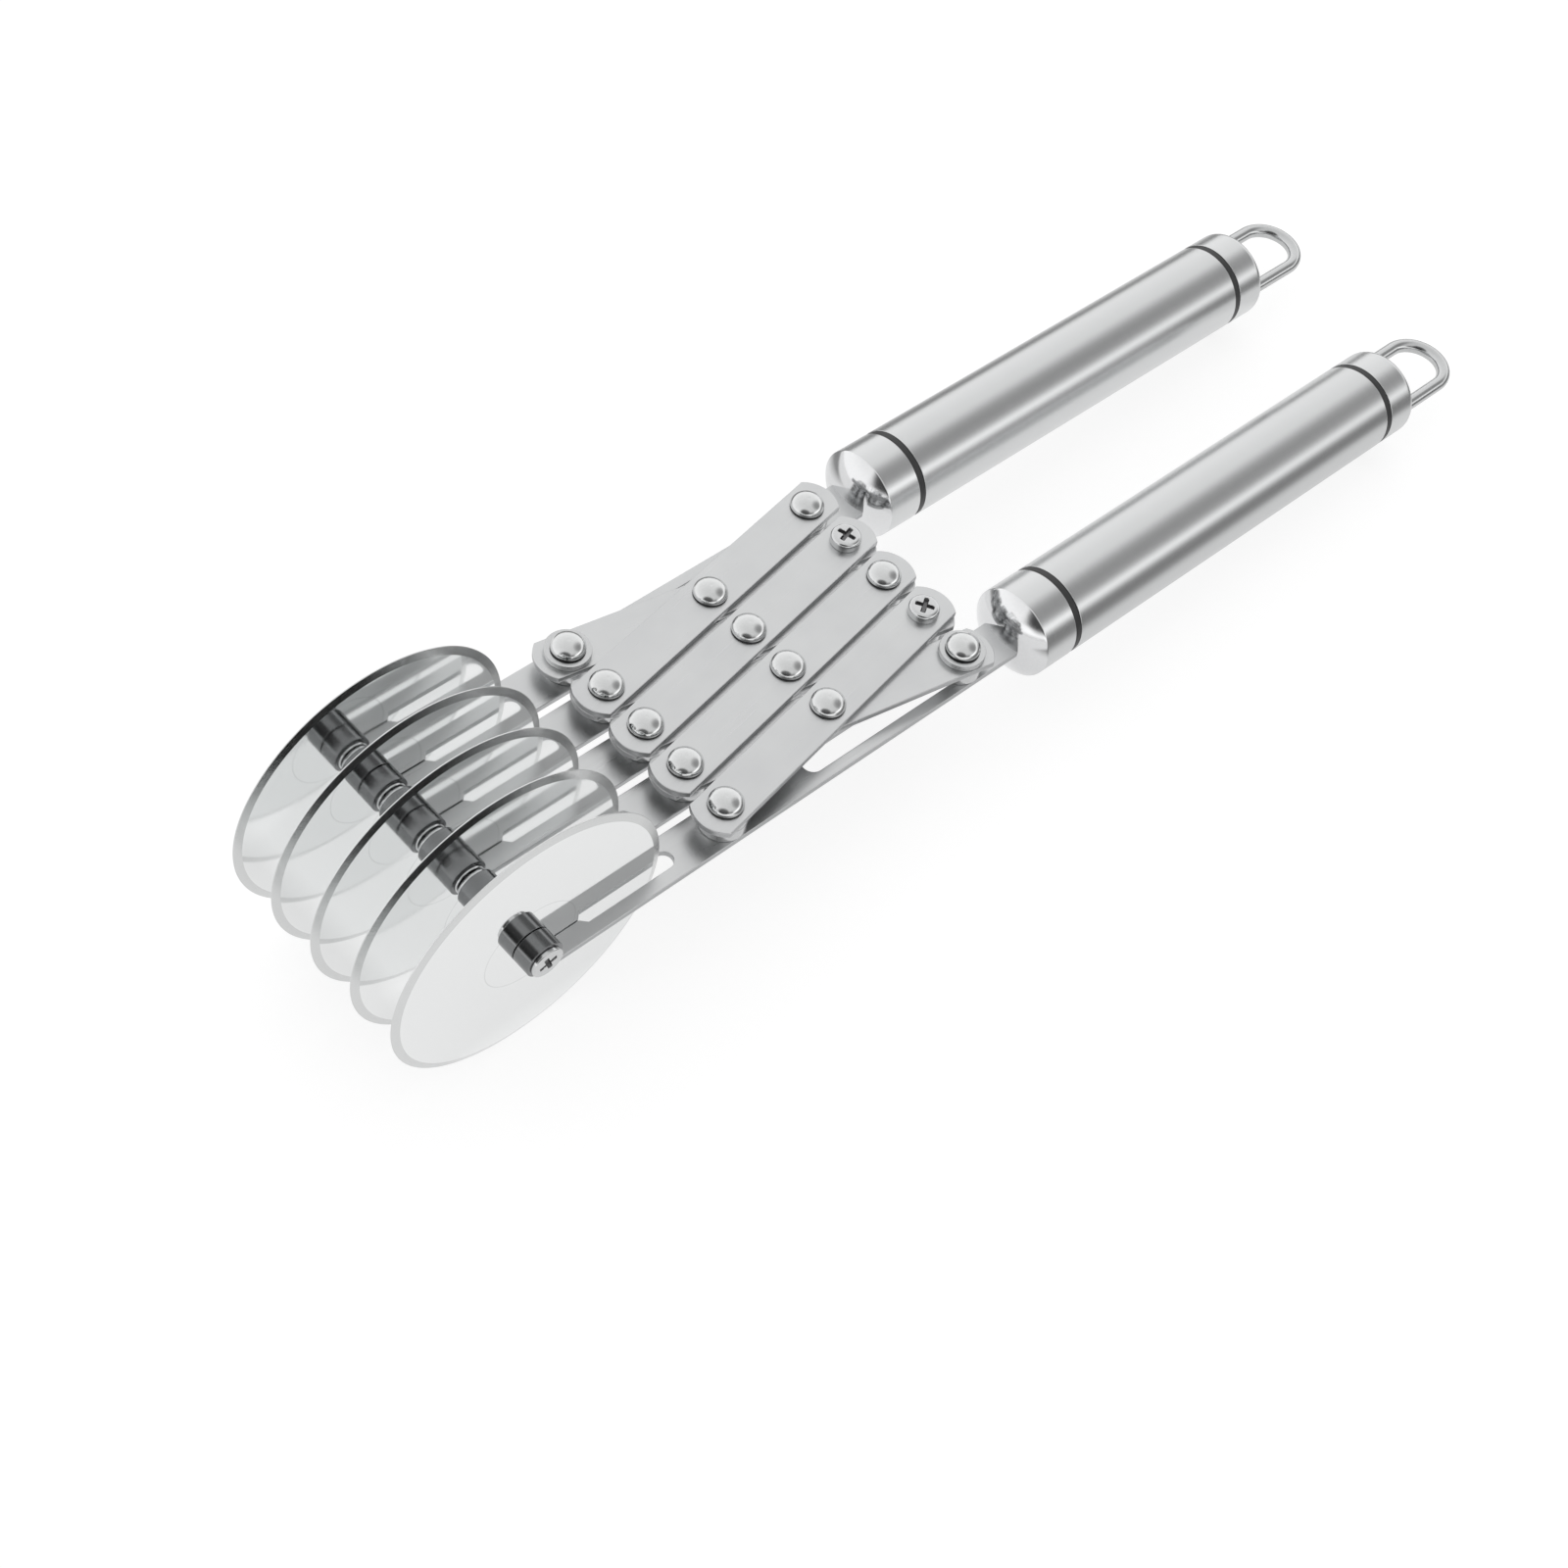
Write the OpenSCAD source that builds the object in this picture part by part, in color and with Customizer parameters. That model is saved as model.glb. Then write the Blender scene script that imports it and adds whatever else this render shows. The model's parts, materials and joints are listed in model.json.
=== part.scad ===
// Expanding five-wheel dough cutter: five cutting wheels on parallel arms,
// spaced by a scissor linkage and opened with two tube handles.
// Drawn with the arms level, then set down on a table by table_pose().

/* [Wheels] */
// Distance between neighbouring wheels when closed
wheel_spacing = 10.5; // [9.8:0.1:12]
// Diameter of a cutting wheel
wheel_d = 56; // [46:0.5:64]
// Thickness of a cutting wheel
wheel_t = 1; // [0.6:0.1:1.6]
// Width of the ground bevel on each face of the rim
bevel_w = 1.5; // [0.5:0.1:4]
// Thickness left at the cutting edge
edge_t = 0.2; // [0.1:0.05:0.5]
// Gap between a wheel and the knuckle on each side
wheel_side_gap = 0.1; // [0.05:0.05:0.5]

/* [Axles] */
// Diameter of an axle screw's shank
axle_d = 4.8; // [3:0.1:5]
// Diameter of an axle screw's head
axle_head_d = 6.3; // [5.4:0.1:7]
// Height of an axle screw's head
axle_head_h = 0.8; // [0.5:0.1:1]
// Diameter of the peened far end of an axle screw
axle_tail_d = 6; // [5.4:0.1:7]
// Height of the peened far end of an axle screw
axle_tail_h = 0.5; // [0.3:0.1:0.6]

/* [Arms] */
// Width of an arm strip
arm_w = 8.7; // [7.5:0.1:8.8]
// Thickness of the arm sheet
arm_t = 1.3; // [0.8:0.1:1.6]
// Distance from the wheel axle to the front rivets
front_reach = 43; // [41:0.5:60]
// Length of the narrow slit behind the axle
slit_length = 10.5; // [8:0.5:14]
// Width of the wheel slot behind the slit
wheel_slot_w = 3.5; // [2:0.1:4.5]
// Room between the wheel rim and the round end of its slot
wheel_slot_room = 3.5; // [1:0.1:5]
// Gap left at the seam of a rolled knuckle
seam_gap = 0.3; // [0.1:0.05:0.5]
// Length of a middle arm behind its rear pin
arm_tail = 6; // [5:0.1:8]
// Length of an outer arm held inside the front cap
tang_in_cap = 9; // [5:0.5:11]
// Extra length of the rear slot at each end
slot_end_room = 0.3; // [0.1:0.1:1]

/* [Linkage] */
// Distance between the two end pivots of a link
link_pitch = 59; // [54:0.5:70]
// Width of a link
link_w = 9; // [8:0.1:9.2]
// Thickness of a link
link_t = 1.3; // [1:0.1:2]
// Radius of a link's end about its pivot
link_end_r = 6.2; // [5:0.1:6.4]
// Height of the spacers between the arms and the lower links
spacer_h = 2.6; // [2:0.1:4]
// Outer diameter of spacers and washers
washer_d = 8.7; // [7:0.1:9]
// Number of washers that fill the place of a missing upper link
washer_count = 3; // [2:1:4]
// Angle that the links turn from closed to fully open
spread_angle = 58; // [20:1:60]

/* [Rivets] */
// Shank diameter of the rivets and rear pins
rivet_d = 4.1; // [3:0.1:4.6]
// Diameter of a domed rivet head
head_d = 6.5; // [5.4:0.1:7.5]
// Height of a domed rivet head
head_h = 2.3; // [1.5:0.1:2.8]
// Height of the straight rim under a dome
head_rim_h = 0.5; // [0.2:0.1:1]
// Diameter of a closed rivet end
tail_d = 6; // [5.2:0.1:7.5]
// Height of a closed rivet end
tail_h = 0.9; // [0.5:0.1:1.2]
// Diameter of a screw head in the rear row
screw_head_d = 5.9; // [5.2:0.1:7]
// Height of a screw head in the rear row
screw_head_h = 1.9; // [1.2:0.1:2.6]
// Length of a cross recess
cross_length = 3.3; // [2:0.1:4]
// Width of a cross recess
cross_w = 0.8; // [0.5:0.1:1.2]

/* [Handles] */
// Outer diameter of a handle
handle_d = 18.2; // [16:0.1:22]
// Length of the tube between the two black rings
tube_length = 92; // [60:0.2:110]
// Wall of the tube
tube_wall = 0.8; // [0.5:0.1:1.5]
// Gap between the rear pin and the front cap's dome when closed
cap_gap = 11; // [9:0.1:18]
// Depth of the front cap's dome
dome_depth = 3.8; // [2:0.1:6]
// Straight length of the front cap
front_cap_length = 7.8; // [6:0.1:12]
// Length of the rear cap
rear_cap_length = 7.3; // [5:0.1:12]
// Edge radius of the rear cap
rear_cap_round = 1.4; // [0.5:0.1:2.5]
// Width of a black ring
ring_w = 1.5; // [1:0.1:4]
// Depth by which a ring lies below the tube's surface
ring_step = 0.1; // [0.05:0.05:0.3]
// Length of a cap's spigot inside the tube
spigot_length = 8; // [4:0.5:14]

/* [Hanging loops] */
// Diameter of the loop wire
wire_d = 2.8; // [2:0.1:3.5]
// Width of the loop between the wire's centres
loop_w = 12.4; // [8:0.1:13.2]
// Length of the straight part of the loop outside the cap
loop_straight = 12.3; // [4:0.1:20]
// Depth of the wire's ends in the rear cap
wire_depth = 8; // [4:0.5:10]

/* [Fits] */
// Radial clearance of a pin in its hole
pin_clearance = 0.05; // [0.02:0.01:0.1]
// Gap between flat faces that turn or slide on each other
face_gap = 0.05; // [0.02:0.01:0.1]
// Clearance between fixed pieces that are pushed together
push_gap = 0.03; // [0.01:0.01:0.1]

/* [Hidden] */
$fn = 64;
// Facets of the wheels' rims, of domes and of thin round sections
rim_fn = 180;
ball_fn = 96;
wire_fn = 32;

steel = [0.78, 0.78, 0.77];
bright_steel = [0.86, 0.86, 0.86];
brushed_steel = [0.7, 0.7, 0.69];
black_plastic = [0.08, 0.08, 0.08];

// How far a cut or a hidden joint runs past the face that it crosses
past = 1;
// Share of a thin head's height that its chamfered edge takes
edge_share = 1 / 3;
// Angle by which the axle screws' cross recess is turned
axle_recess_turn = 20;
// Width of the round pit in the middle of a cross recess, against the cross
pit_share = 1.6;

// Level frame: X from the axle row to the handles, Y towards wheel 1, Z up,
// with the axle row along Y at X = 0, Z = 0.
last = 5;
middle = 3;
function row_y(k) = (middle - k) * wheel_spacing;
function outer_arm(k) = k == 1 || k == last;
function screwed_pin(k) = k % 2 == 0;

wheel_r = wheel_d / 2;
pin_hole_d = rivet_d + 2 * pin_clearance;
knuckle_bore_d = axle_d + 2 * pin_clearance;
knuckle_r = knuckle_bore_d / 2 + arm_t;
plate_z = -knuckle_r;
plate_top = plate_z + arm_t;
plate_mid = plate_z + arm_t / 2;
slit_w = wheel_t + 2 * wheel_side_gap;
wheel_slot_end = wheel_r + wheel_slot_room;
chamfer_l = (wheel_slot_w - slit_w) / 2;
cut_depth = 4 * knuckle_r;
seam_x = knuckle_bore_d / 8;

// Closed pose of the scissor: every link leans by closed_angle
closed_angle = asin(wheel_spacing / link_pitch);
open_angle = closed_angle + spread_angle;
front_x = front_reach;
rear_x = front_x + link_pitch * cos(closed_angle);
rear_x_open = front_x + link_pitch * cos(open_angle);
middle_x = (front_x + rear_x) / 2;

// Heights of the stacked layers
spacer_z = plate_top + face_gap;
lower_z = spacer_z + spacer_h + face_gap;
upper_z = lower_z + link_t + face_gap;
head_z = upper_z + link_t + face_gap;
tail_z = plate_z - face_gap;

// Handle stations along X
cap_x = rear_x + cap_gap;
cap_rim_x = cap_x + dome_depth;
front_ring_x = cap_rim_x + front_cap_length;
tube_x = front_ring_x + ring_w;
rear_ring_x = tube_x + tube_length;
rear_cap_x = rear_ring_x + ring_w;
handle_end_x = rear_cap_x + rear_cap_length;
loop_bend_x = handle_end_x + loop_straight;
handle_r = handle_d / 2;
spigot_d = handle_d - 2 * tube_wall - 2 * push_gap;
handle_z = plate_mid;

// Resting pose: the wheels' rims and the rear caps' lower edges touch the table
rest_x = handle_end_x - rear_cap_round;
rest_z = handle_r - handle_z;
pitch = asin(wheel_r / norm([rest_x, rest_z])) - atan(rest_z / rest_x);
loop_tip_x = loop_bend_x + loop_w / 2;
shift_x = (wheel_r - loop_tip_x * cos(pitch) - handle_z * sin(pitch) - wire_d / 2) / 2;

module table_pose() {
    translate([shift_x, 0, wheel_r])
        rotate([0, pitch, 0])
            children();
}

// A box given by its lowest X, its middle Y and its lowest Z
module strip(x, y, z, length, width, height) {
    translate([x, y - width / 2, z])
        cube([length, width, height]);
}

// A cylinder along Y from y to y + length
module y_cylinder(y, length, diameter) {
    translate([0, y, 0])
        rotate([-90, 0, 0])
            cylinder(h = length, d = diameter);
}

module washer(z, height) {
    translate([0, 0, z])
        difference() {
            cylinder(h = height, d = washer_d);
            translate([0, 0, -past])
                cylinder(h = height + 2 * past, d = pin_hole_d);
        }
}

// Domed head standing on z = 0
module dome(diameter, height) {
    cap_h = height - head_rim_h;
    ball_r = (pow(diameter / 2, 2) + pow(cap_h, 2)) / (2 * cap_h);
    cylinder(h = head_rim_h, d = diameter);
    intersection() {
        translate([0, 0, height - ball_r])
            sphere(r = ball_r, $fn = ball_fn);
        translate([0, 0, head_rim_h / 2])
            cylinder(h = height, d = diameter);
    }
}

// Cross-shaped recess, its mouth at z = 0
module cross_recess(depth) {
    for (turn = [0, 90])
        rotate([0, 0, turn])
            strip(-cross_length / 2, 0, -depth, cross_length, cross_w, depth + past);
    translate([0, 0, -depth - cross_w / 4])
        cylinder(h = depth, d = pit_share * cross_w);
}

// Pan head with a cross recess, standing on z = 0
module screw_head(diameter, height, recess) {
    difference() {
        dome(diameter, height);
        translate([0, 0, height])
            cross_recess(recess);
    }
}

module wheel(k) {
    flat_r = wheel_r - bevel_w;
    color(bright_steel)
        table_pose()
            translate([0, row_y(k), 0])
                rotate([90, 0, 0])
                    rotate_extrude($fn = rim_fn)
                        polygon([
                            [knuckle_bore_d / 2, -wheel_t / 2],
                            [flat_r, -wheel_t / 2],
                            [wheel_r, -edge_t / 2],
                            [wheel_r, edge_t / 2],
                            [flat_r, wheel_t / 2],
                            [knuckle_bore_d / 2, wheel_t / 2]]);
}

// Axle screw: head towards -Y, peened end towards +Y
module axle_screw(k) {
    half = arm_w / 2 + face_gap;
    color(steel)
        table_pose()
            translate([0, row_y(k), 0]) {
                y_cylinder(-half, 2 * half, axle_d);
                y_cylinder(half, axle_tail_h, axle_tail_d);
                translate([0, -half, 0])
                    rotate([90, 0, 0])
                        difference() {
                            axle_head();
                            translate([0, 0, axle_head_h])
                                rotate([0, 0, axle_recess_turn])
                                    cross_recess(axle_head_h);
                        }
            }
}

module axle_head() {
    chamfer = axle_head_h * edge_share;
    cylinder(h = axle_head_h - chamfer, d = axle_head_d);
    translate([0, 0, axle_head_h - chamfer])
        cylinder(h = chamfer, d1 = axle_head_d, d2 = axle_head_d - 2 * chamfer);
}

// Slit, chamfer and round-ended slot that the wheel runs in
module wheel_slot() {
    slot_r = wheel_slot_w / 2;
    strip(-2 * knuckle_r, 0, -cut_depth / 2,
        2 * knuckle_r + slit_length + chamfer_l, slit_w, cut_depth);
    translate([slit_length, 0, -cut_depth / 2])
        linear_extrude(height = cut_depth)
            polygon([
                [0, -slit_w / 2],
                [chamfer_l, -slot_r],
                [chamfer_l + slot_r, -slot_r],
                [chamfer_l + slot_r, slot_r],
                [chamfer_l, slot_r],
                [0, slit_w / 2]]);
    round_slot(slit_length + chamfer_l + slot_r, wheel_slot_end - slot_r, wheel_slot_w);
}

// Slot along X with round ends centred at x1 and x2
module round_slot(x1, x2, width) {
    strip(x1, 0, -cut_depth / 2, x2 - x1, width, cut_depth);
    for (x = [x1, x2])
        translate([x, 0, -cut_depth / 2])
            cylinder(h = cut_depth, d = width);
}

// Arm strip of a middle arm, its end round about the closed rear pin
module middle_plate() {
    intersection() {
        strip(0, 0, plate_z, rear_x + arm_tail, arm_w, arm_t);
        union() {
            strip(0, 0, plate_z, rear_x, 2 * arm_w, arm_t);
            translate([rear_x, 0, plate_z])
                cylinder(h = arm_t, r = arm_tail);
        }
    }
}

// Arm strip of an outer arm, its square end held in the front cap
module outer_plate() {
    strip(0, 0, plate_z, cap_x + tang_in_cap, arm_w, arm_t);
}

// Cuts the knuckle bore, its seam, the slots and the rivet hole into an arm strip
module arm_body() {
    difference() {
        union() {
            y_cylinder(-arm_w / 2, arm_w, 2 * knuckle_r);
            children();
        }
        y_cylinder(-arm_w, 2 * arm_w, knuckle_bore_d);
        strip(seam_x, 0, plate_top, 2 * knuckle_r, 2 * arm_w, seam_gap);
        wheel_slot();
        translate([front_x, 0, -cut_depth / 2])
            cylinder(h = cut_depth, d = pin_hole_d);
        round_slot(rear_x_open - slot_end_room, rear_x + slot_end_room, pin_hole_d);
    }
}

module arm(k) {
    color(steel)
        table_pose()
            translate([0, row_y(k), 0])
                arm_body()
                    if (outer_arm(k))
                        outer_plate();
                    else
                        middle_plate();
}

// Flat link from [0, 0] along X, its underside at z = 0
module link_body() {
    difference() {
        intersection() {
            strip(-link_end_r, 0, 0, link_pitch + 2 * link_end_r, link_w, link_t);
            union() {
                strip(0, 0, 0, link_pitch, 2 * link_w, link_t);
                for (x = [0, link_pitch])
                    translate([x, 0, 0])
                        cylinder(h = link_t, r = link_end_r);
            }
        }
        for (x = [0, link_pitch / 2, link_pitch])
            translate([x, 0, -past])
                cylinder(h = link_t + 2 * past, d = pin_hole_d);
    }
}

// Lower link k runs from front rivet k to rear pin k + 1
module lower_link(k) {
    color(steel)
        table_pose()
            translate([front_x, row_y(k), lower_z])
                rotate([0, 0, -closed_angle])
                    link_body();
}

// Upper link k runs from front rivet k + 1 to rear pin k
module upper_link(k) {
    color(steel)
        table_pose()
            translate([front_x, row_y(k + 1), upper_z])
                rotate([0, 0, closed_angle])
                    link_body();
}

module shank(z1, z2) {
    translate([0, 0, z1])
        cylinder(h = z2 - z1, d = rivet_d);
}

// Closed rivet end hanging below z
module rivet_tail(z) {
    chamfer = tail_h * edge_share;
    translate([0, 0, z - tail_h]) {
        cylinder(h = chamfer, d1 = tail_d - 2 * chamfer, d2 = tail_d);
        translate([0, 0, chamfer])
            cylinder(h = tail_h - chamfer, d = tail_d);
    }
}

module domed_rivet(bottom) {
    shank(bottom, head_z);
    rivet_tail(bottom);
    translate([0, 0, head_z])
        dome(head_d, head_h);
}

module cross_screw(bottom) {
    shank(bottom, head_z);
    rivet_tail(bottom);
    translate([0, 0, head_z])
        screw_head(screw_head_d, screw_head_h, screw_head_h / 2);
}

module front_rivet(k) {
    color(bright_steel)
        table_pose()
            translate([front_x, row_y(k), 0])
                domed_rivet(tail_z);
}

module middle_rivet(k) {
    color(bright_steel)
        table_pose()
            translate([middle_x, (row_y(k) + row_y(k + 1)) / 2, 0])
                domed_rivet(lower_z - face_gap);
}

module rear_pin(k) {
    color(bright_steel)
        table_pose()
            translate([rear_x, row_y(k), 0])
                if (screwed_pin(k))
                    cross_screw(tail_z);
                else
                    domed_rivet(tail_z);
}

// Washers that fill the place of a missing upper link
module top_washers() {
    each_h = link_t / washer_count;
    for (i = [0 : washer_count - 1])
        washer(upper_z + i * each_h, each_h - face_gap);
}

module front_spacer(k) {
    color(brushed_steel)
        table_pose()
            translate([front_x, row_y(k), 0]) {
                washer(spacer_z, spacer_h);
                if (k == 1)
                    top_washers();
                if (k == last)
                    washer(lower_z, link_t);
            }
}

module rear_spacer(k) {
    color(brushed_steel)
        table_pose()
            translate([rear_x, row_y(k), 0]) {
                washer(spacer_z, spacer_h);
                if (k == last)
                    top_washers();
                if (k == 1)
                    washer(lower_z, link_t);
            }
}

// Places a handle piece: its local Z runs along the handle from x
module on_handle(k, x) {
    translate([x, row_y(k), handle_z])
        rotate([0, 90, 0])
            children();
}

module front_cap(k) {
    ball_r = (pow(handle_r, 2) + pow(dome_depth, 2)) / (2 * dome_depth);
    color(bright_steel)
        table_pose()
            difference() {
                union() {
                    on_handle(k, cap_rim_x)
                        cylinder(h = front_cap_length, r = handle_r);
                    on_handle(k, cap_rim_x)
                        cylinder(h = front_cap_length + ring_w + spigot_length, d = spigot_d);
                    intersection() {
                        on_handle(k, cap_x + ball_r)
                            sphere(r = ball_r, $fn = ball_fn);
                        on_handle(k, cap_x - past)
                            cylinder(h = dome_depth + 2 * past, r = handle_r);
                    }
                }
                strip(cap_x - past, row_y(k), plate_z - push_gap,
                    tang_in_cap + past + push_gap, arm_w + 2 * push_gap, arm_t + 2 * push_gap);
            }
}

module tube(k) {
    color(brushed_steel)
        table_pose()
            on_handle(k, tube_x)
                difference() {
                    cylinder(h = tube_length, r = handle_r);
                    translate([0, 0, -past])
                        cylinder(h = tube_length + 2 * past, r = handle_r - tube_wall);
                }
}

module rear_cap(k) {
    color(bright_steel)
        table_pose()
            difference() {
                union() {
                    on_handle(k, rear_cap_x)
                        rounded_end(rear_cap_length, handle_r, rear_cap_round);
                    on_handle(k, rear_cap_x - ring_w - spigot_length)
                        cylinder(h = ring_w + spigot_length + past, d = spigot_d);
                }
                loop_wire(k, wire_d + 2 * push_gap, wire_depth + push_gap);
            }
}

// Cylinder whose far edge is rounded
module rounded_end(length, radius, round_r) {
    cylinder(h = length - round_r, r = radius);
    cylinder(h = length, r = radius - round_r);
    translate([0, 0, length - round_r])
        rotate_extrude()
            translate([radius - round_r, 0])
                intersection() {
                    circle(r = round_r, $fn = wire_fn);
                    square(round_r);
                }
}

module rings(k) {
    color(black_plastic)
        table_pose()
            for (x = [front_ring_x, rear_ring_x])
                on_handle(k, x)
                    translate([0, 0, push_gap])
                        difference() {
                            cylinder(h = ring_w - 2 * push_gap, r = handle_r - ring_step);
                            translate([0, 0, -past])
                                cylinder(h = ring_w + 2 * past, d = spigot_d + 2 * push_gap);
                        }
}

// Bent wire of one hanging loop, its legs reaching depth into the cap
module loop_wire(k, diameter, depth) {
    for (side = [-1, 1])
        translate([handle_end_x - depth, row_y(k) + side * loop_w / 2, handle_z])
            rotate([0, 90, 0])
                cylinder(h = depth + loop_straight, d = diameter);
    translate([loop_bend_x, row_y(k), handle_z])
        rotate([0, 0, -90])
            rotate_extrude(angle = 180)
                translate([loop_w / 2, 0])
                    circle(d = diameter, $fn = wire_fn);
}

module loop(k) {
    color(bright_steel)
        table_pose()
            loop_wire(k, wire_d, wire_depth);
}

wheel(1);  // wheel_1
wheel(2);  // wheel_2
wheel(3);  // wheel_3
wheel(4);  // wheel_4
wheel(5);  // wheel_5
axle_screw(1);  // axle_screw_1
axle_screw(2);  // axle_screw_2
axle_screw(3);  // axle_screw_3
axle_screw(4);  // axle_screw_4
axle_screw(5);  // axle_screw_5
arm(1);  // arm_1
arm(2);  // arm_2
arm(3);  // arm_3
arm(4);  // arm_4
arm(5);  // arm_5
lower_link(1);  // lower_link_1
lower_link(2);  // lower_link_2
lower_link(3);  // lower_link_3
lower_link(4);  // lower_link_4
upper_link(1);  // upper_link_1
upper_link(2);  // upper_link_2
upper_link(3);  // upper_link_3
upper_link(4);  // upper_link_4
front_rivet(1);  // front_rivet_1
front_rivet(2);  // front_rivet_2
front_rivet(3);  // front_rivet_3
front_rivet(4);  // front_rivet_4
front_rivet(5);  // front_rivet_5
front_spacer(1);  // front_spacer_1
front_spacer(2);  // front_spacer_2
front_spacer(3);  // front_spacer_3
front_spacer(4);  // front_spacer_4
front_spacer(5);  // front_spacer_5
middle_rivet(1);  // middle_rivet_1
middle_rivet(2);  // middle_rivet_2
middle_rivet(3);  // middle_rivet_3
middle_rivet(4);  // middle_rivet_4
rear_pin(1);  // rear_pin_1
rear_pin(2);  // rear_pin_2
rear_pin(3);  // rear_pin_3
rear_pin(4);  // rear_pin_4
rear_pin(5);  // rear_pin_5
rear_spacer(1);  // rear_spacer_1
rear_spacer(2);  // rear_spacer_2
rear_spacer(3);  // rear_spacer_3
rear_spacer(4);  // rear_spacer_4
rear_spacer(5);  // rear_spacer_5
front_cap(1);  // handle_1_front_cap
tube(1);  // handle_1_tube
rear_cap(1);  // handle_1_rear_cap
rings(1);  // handle_1_rings
loop(1);  // handle_1_loop
front_cap(5);  // handle_5_front_cap
tube(5);  // handle_5_tube
rear_cap(5);  // handle_5_rear_cap
rings(5);  // handle_5_rings
loop(5);  // handle_5_loop
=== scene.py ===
# %% [markdown]
# # An expanding dough cutter with five wheels
#
# The real object cuts dough into strips. Five steel wheels turn on short axle
# screws, each in the slit of a flat arm whose front end is rolled into a
# knuckle. Eight flat links on domed rivets form a scissor that keeps the arms
# evenly apart, and the two outer arms end in tube handles with hanging loops.
#
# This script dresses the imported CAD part. The CAD solids already have the right
# sizes, so every piece below is worked out from the same sizes, with the small
# rounded edges, rolled ends and finishes that solids leave out.

import json

import bmesh
import bpy
import numpy as np
from mathutils import Matrix

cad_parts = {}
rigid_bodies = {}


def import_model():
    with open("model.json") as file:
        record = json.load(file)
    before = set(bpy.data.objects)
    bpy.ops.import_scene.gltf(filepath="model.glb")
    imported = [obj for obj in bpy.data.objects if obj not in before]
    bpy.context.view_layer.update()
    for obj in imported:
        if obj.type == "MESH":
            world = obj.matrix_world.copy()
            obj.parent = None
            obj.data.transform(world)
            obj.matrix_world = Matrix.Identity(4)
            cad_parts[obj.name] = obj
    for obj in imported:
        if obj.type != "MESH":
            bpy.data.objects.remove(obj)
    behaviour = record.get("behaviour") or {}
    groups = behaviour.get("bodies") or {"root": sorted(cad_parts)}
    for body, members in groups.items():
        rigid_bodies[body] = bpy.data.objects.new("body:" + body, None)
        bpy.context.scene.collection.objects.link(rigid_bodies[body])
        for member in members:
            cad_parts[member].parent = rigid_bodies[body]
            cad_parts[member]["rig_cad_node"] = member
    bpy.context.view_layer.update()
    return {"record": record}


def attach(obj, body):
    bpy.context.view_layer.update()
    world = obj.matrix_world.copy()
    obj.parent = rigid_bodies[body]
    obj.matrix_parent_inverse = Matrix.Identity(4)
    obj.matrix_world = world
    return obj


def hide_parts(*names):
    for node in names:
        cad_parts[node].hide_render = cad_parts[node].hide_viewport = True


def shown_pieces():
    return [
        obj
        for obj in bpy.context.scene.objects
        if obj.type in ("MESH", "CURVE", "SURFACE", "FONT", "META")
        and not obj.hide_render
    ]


for leftover in list(bpy.data.objects):
    bpy.data.objects.remove(leftover)
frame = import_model()
home = {
    node: body
    for body, nodes in frame["record"]["behaviour"]["bodies"].items()
    for node in nodes
}

# %% [markdown]
# ## Sizes
#
# All sizes are in millimetres and repeat the part's source, because this script
# can't read that file. They are in a level frame: X from the wheels' axle to
# the handles, Y towards wheel 1, Z up, with the axle row at X = 0 and Z = 0.

# %% Sizes of the real object, in millimetres
SPACING = 10.5
WHEEL_R, WHEEL_T, BEVEL_W, EDGE_T = 28.0, 1.0, 1.5, 0.2
AXLE_R, AXLE_HEAD_R, AXLE_HEAD_H, AXLE_TAIL_R, AXLE_TAIL_H = 2.4, 3.15, 0.8, 3.0, 0.5
ARM_W, ARM_T, FRONT_X, SLIT_END, SLOT_W, SLOT_END = 8.7, 1.3, 43.0, 10.5, 3.5, 31.5
SLIT_W, ARM_TAIL, TANG = 1.2, 6.0, 9.0
LINK_PITCH, LINK_W, LINK_T, LINK_END_R = 59.0, 9.0, 1.3, 6.2
SPACER_H, WASHER_R, WASHERS = 2.6, 4.35, 3
PIN_R, HOLE_R, HEAD_R, HEAD_H, HEAD_RIM = 2.05, 2.1, 3.25, 2.3, 0.5
TAIL_R, TAIL_H, SCREW_R, SCREW_H = 3.0, 0.9, 2.95, 1.9
CROSS_L, CROSS_W, SLIDE_GAP = 3.3, 0.8, 0.05
HANDLE_R, TUBE_L, TUBE_WALL, DOME, FRONT_CAP = 9.1, 92.0, 0.8, 3.8, 7.8
REAR_CAP, REAR_ROUND, RING_W, RING_STEP, CAP_GAP = 7.3, 1.4, 1.5, 0.1, 11.0
WIRE_R, LOOP_W, LOOP_L = 1.4, 12.4, 12.3
SPREAD = np.radians(58)

# %% Places that follow from the sizes
LEAN = np.arcsin(SPACING / LINK_PITCH)
REAR_X = FRONT_X + LINK_PITCH * np.cos(LEAN)
REAR_OPEN_X = FRONT_X + LINK_PITCH * np.cos(LEAN + SPREAD)
BORE_R = AXLE_R + SLIDE_GAP
KNUCKLE_R = BORE_R + ARM_T
ROLL_R = KNUCKLE_R - ARM_T / 2
PLATE_MID = -ROLL_R
PLATE_TOP = PLATE_MID + ARM_T / 2
PLATE_LOW = PLATE_MID - ARM_T / 2
SPACER_Z = PLATE_TOP + SLIDE_GAP
LOWER_Z = SPACER_Z + SPACER_H + SLIDE_GAP
UPPER_Z = LOWER_Z + LINK_T + SLIDE_GAP
HEAD_Z = UPPER_Z + LINK_T + SLIDE_GAP
CAP_X = REAR_X + CAP_GAP
RIM_X = CAP_X + DOME
RING_1_X = RIM_X + FRONT_CAP
TUBE_X = RING_1_X + RING_W
RING_2_X = TUBE_X + TUBE_L
REAR_CAP_X = RING_2_X + RING_W
END_X = REAR_CAP_X + REAR_CAP
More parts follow.
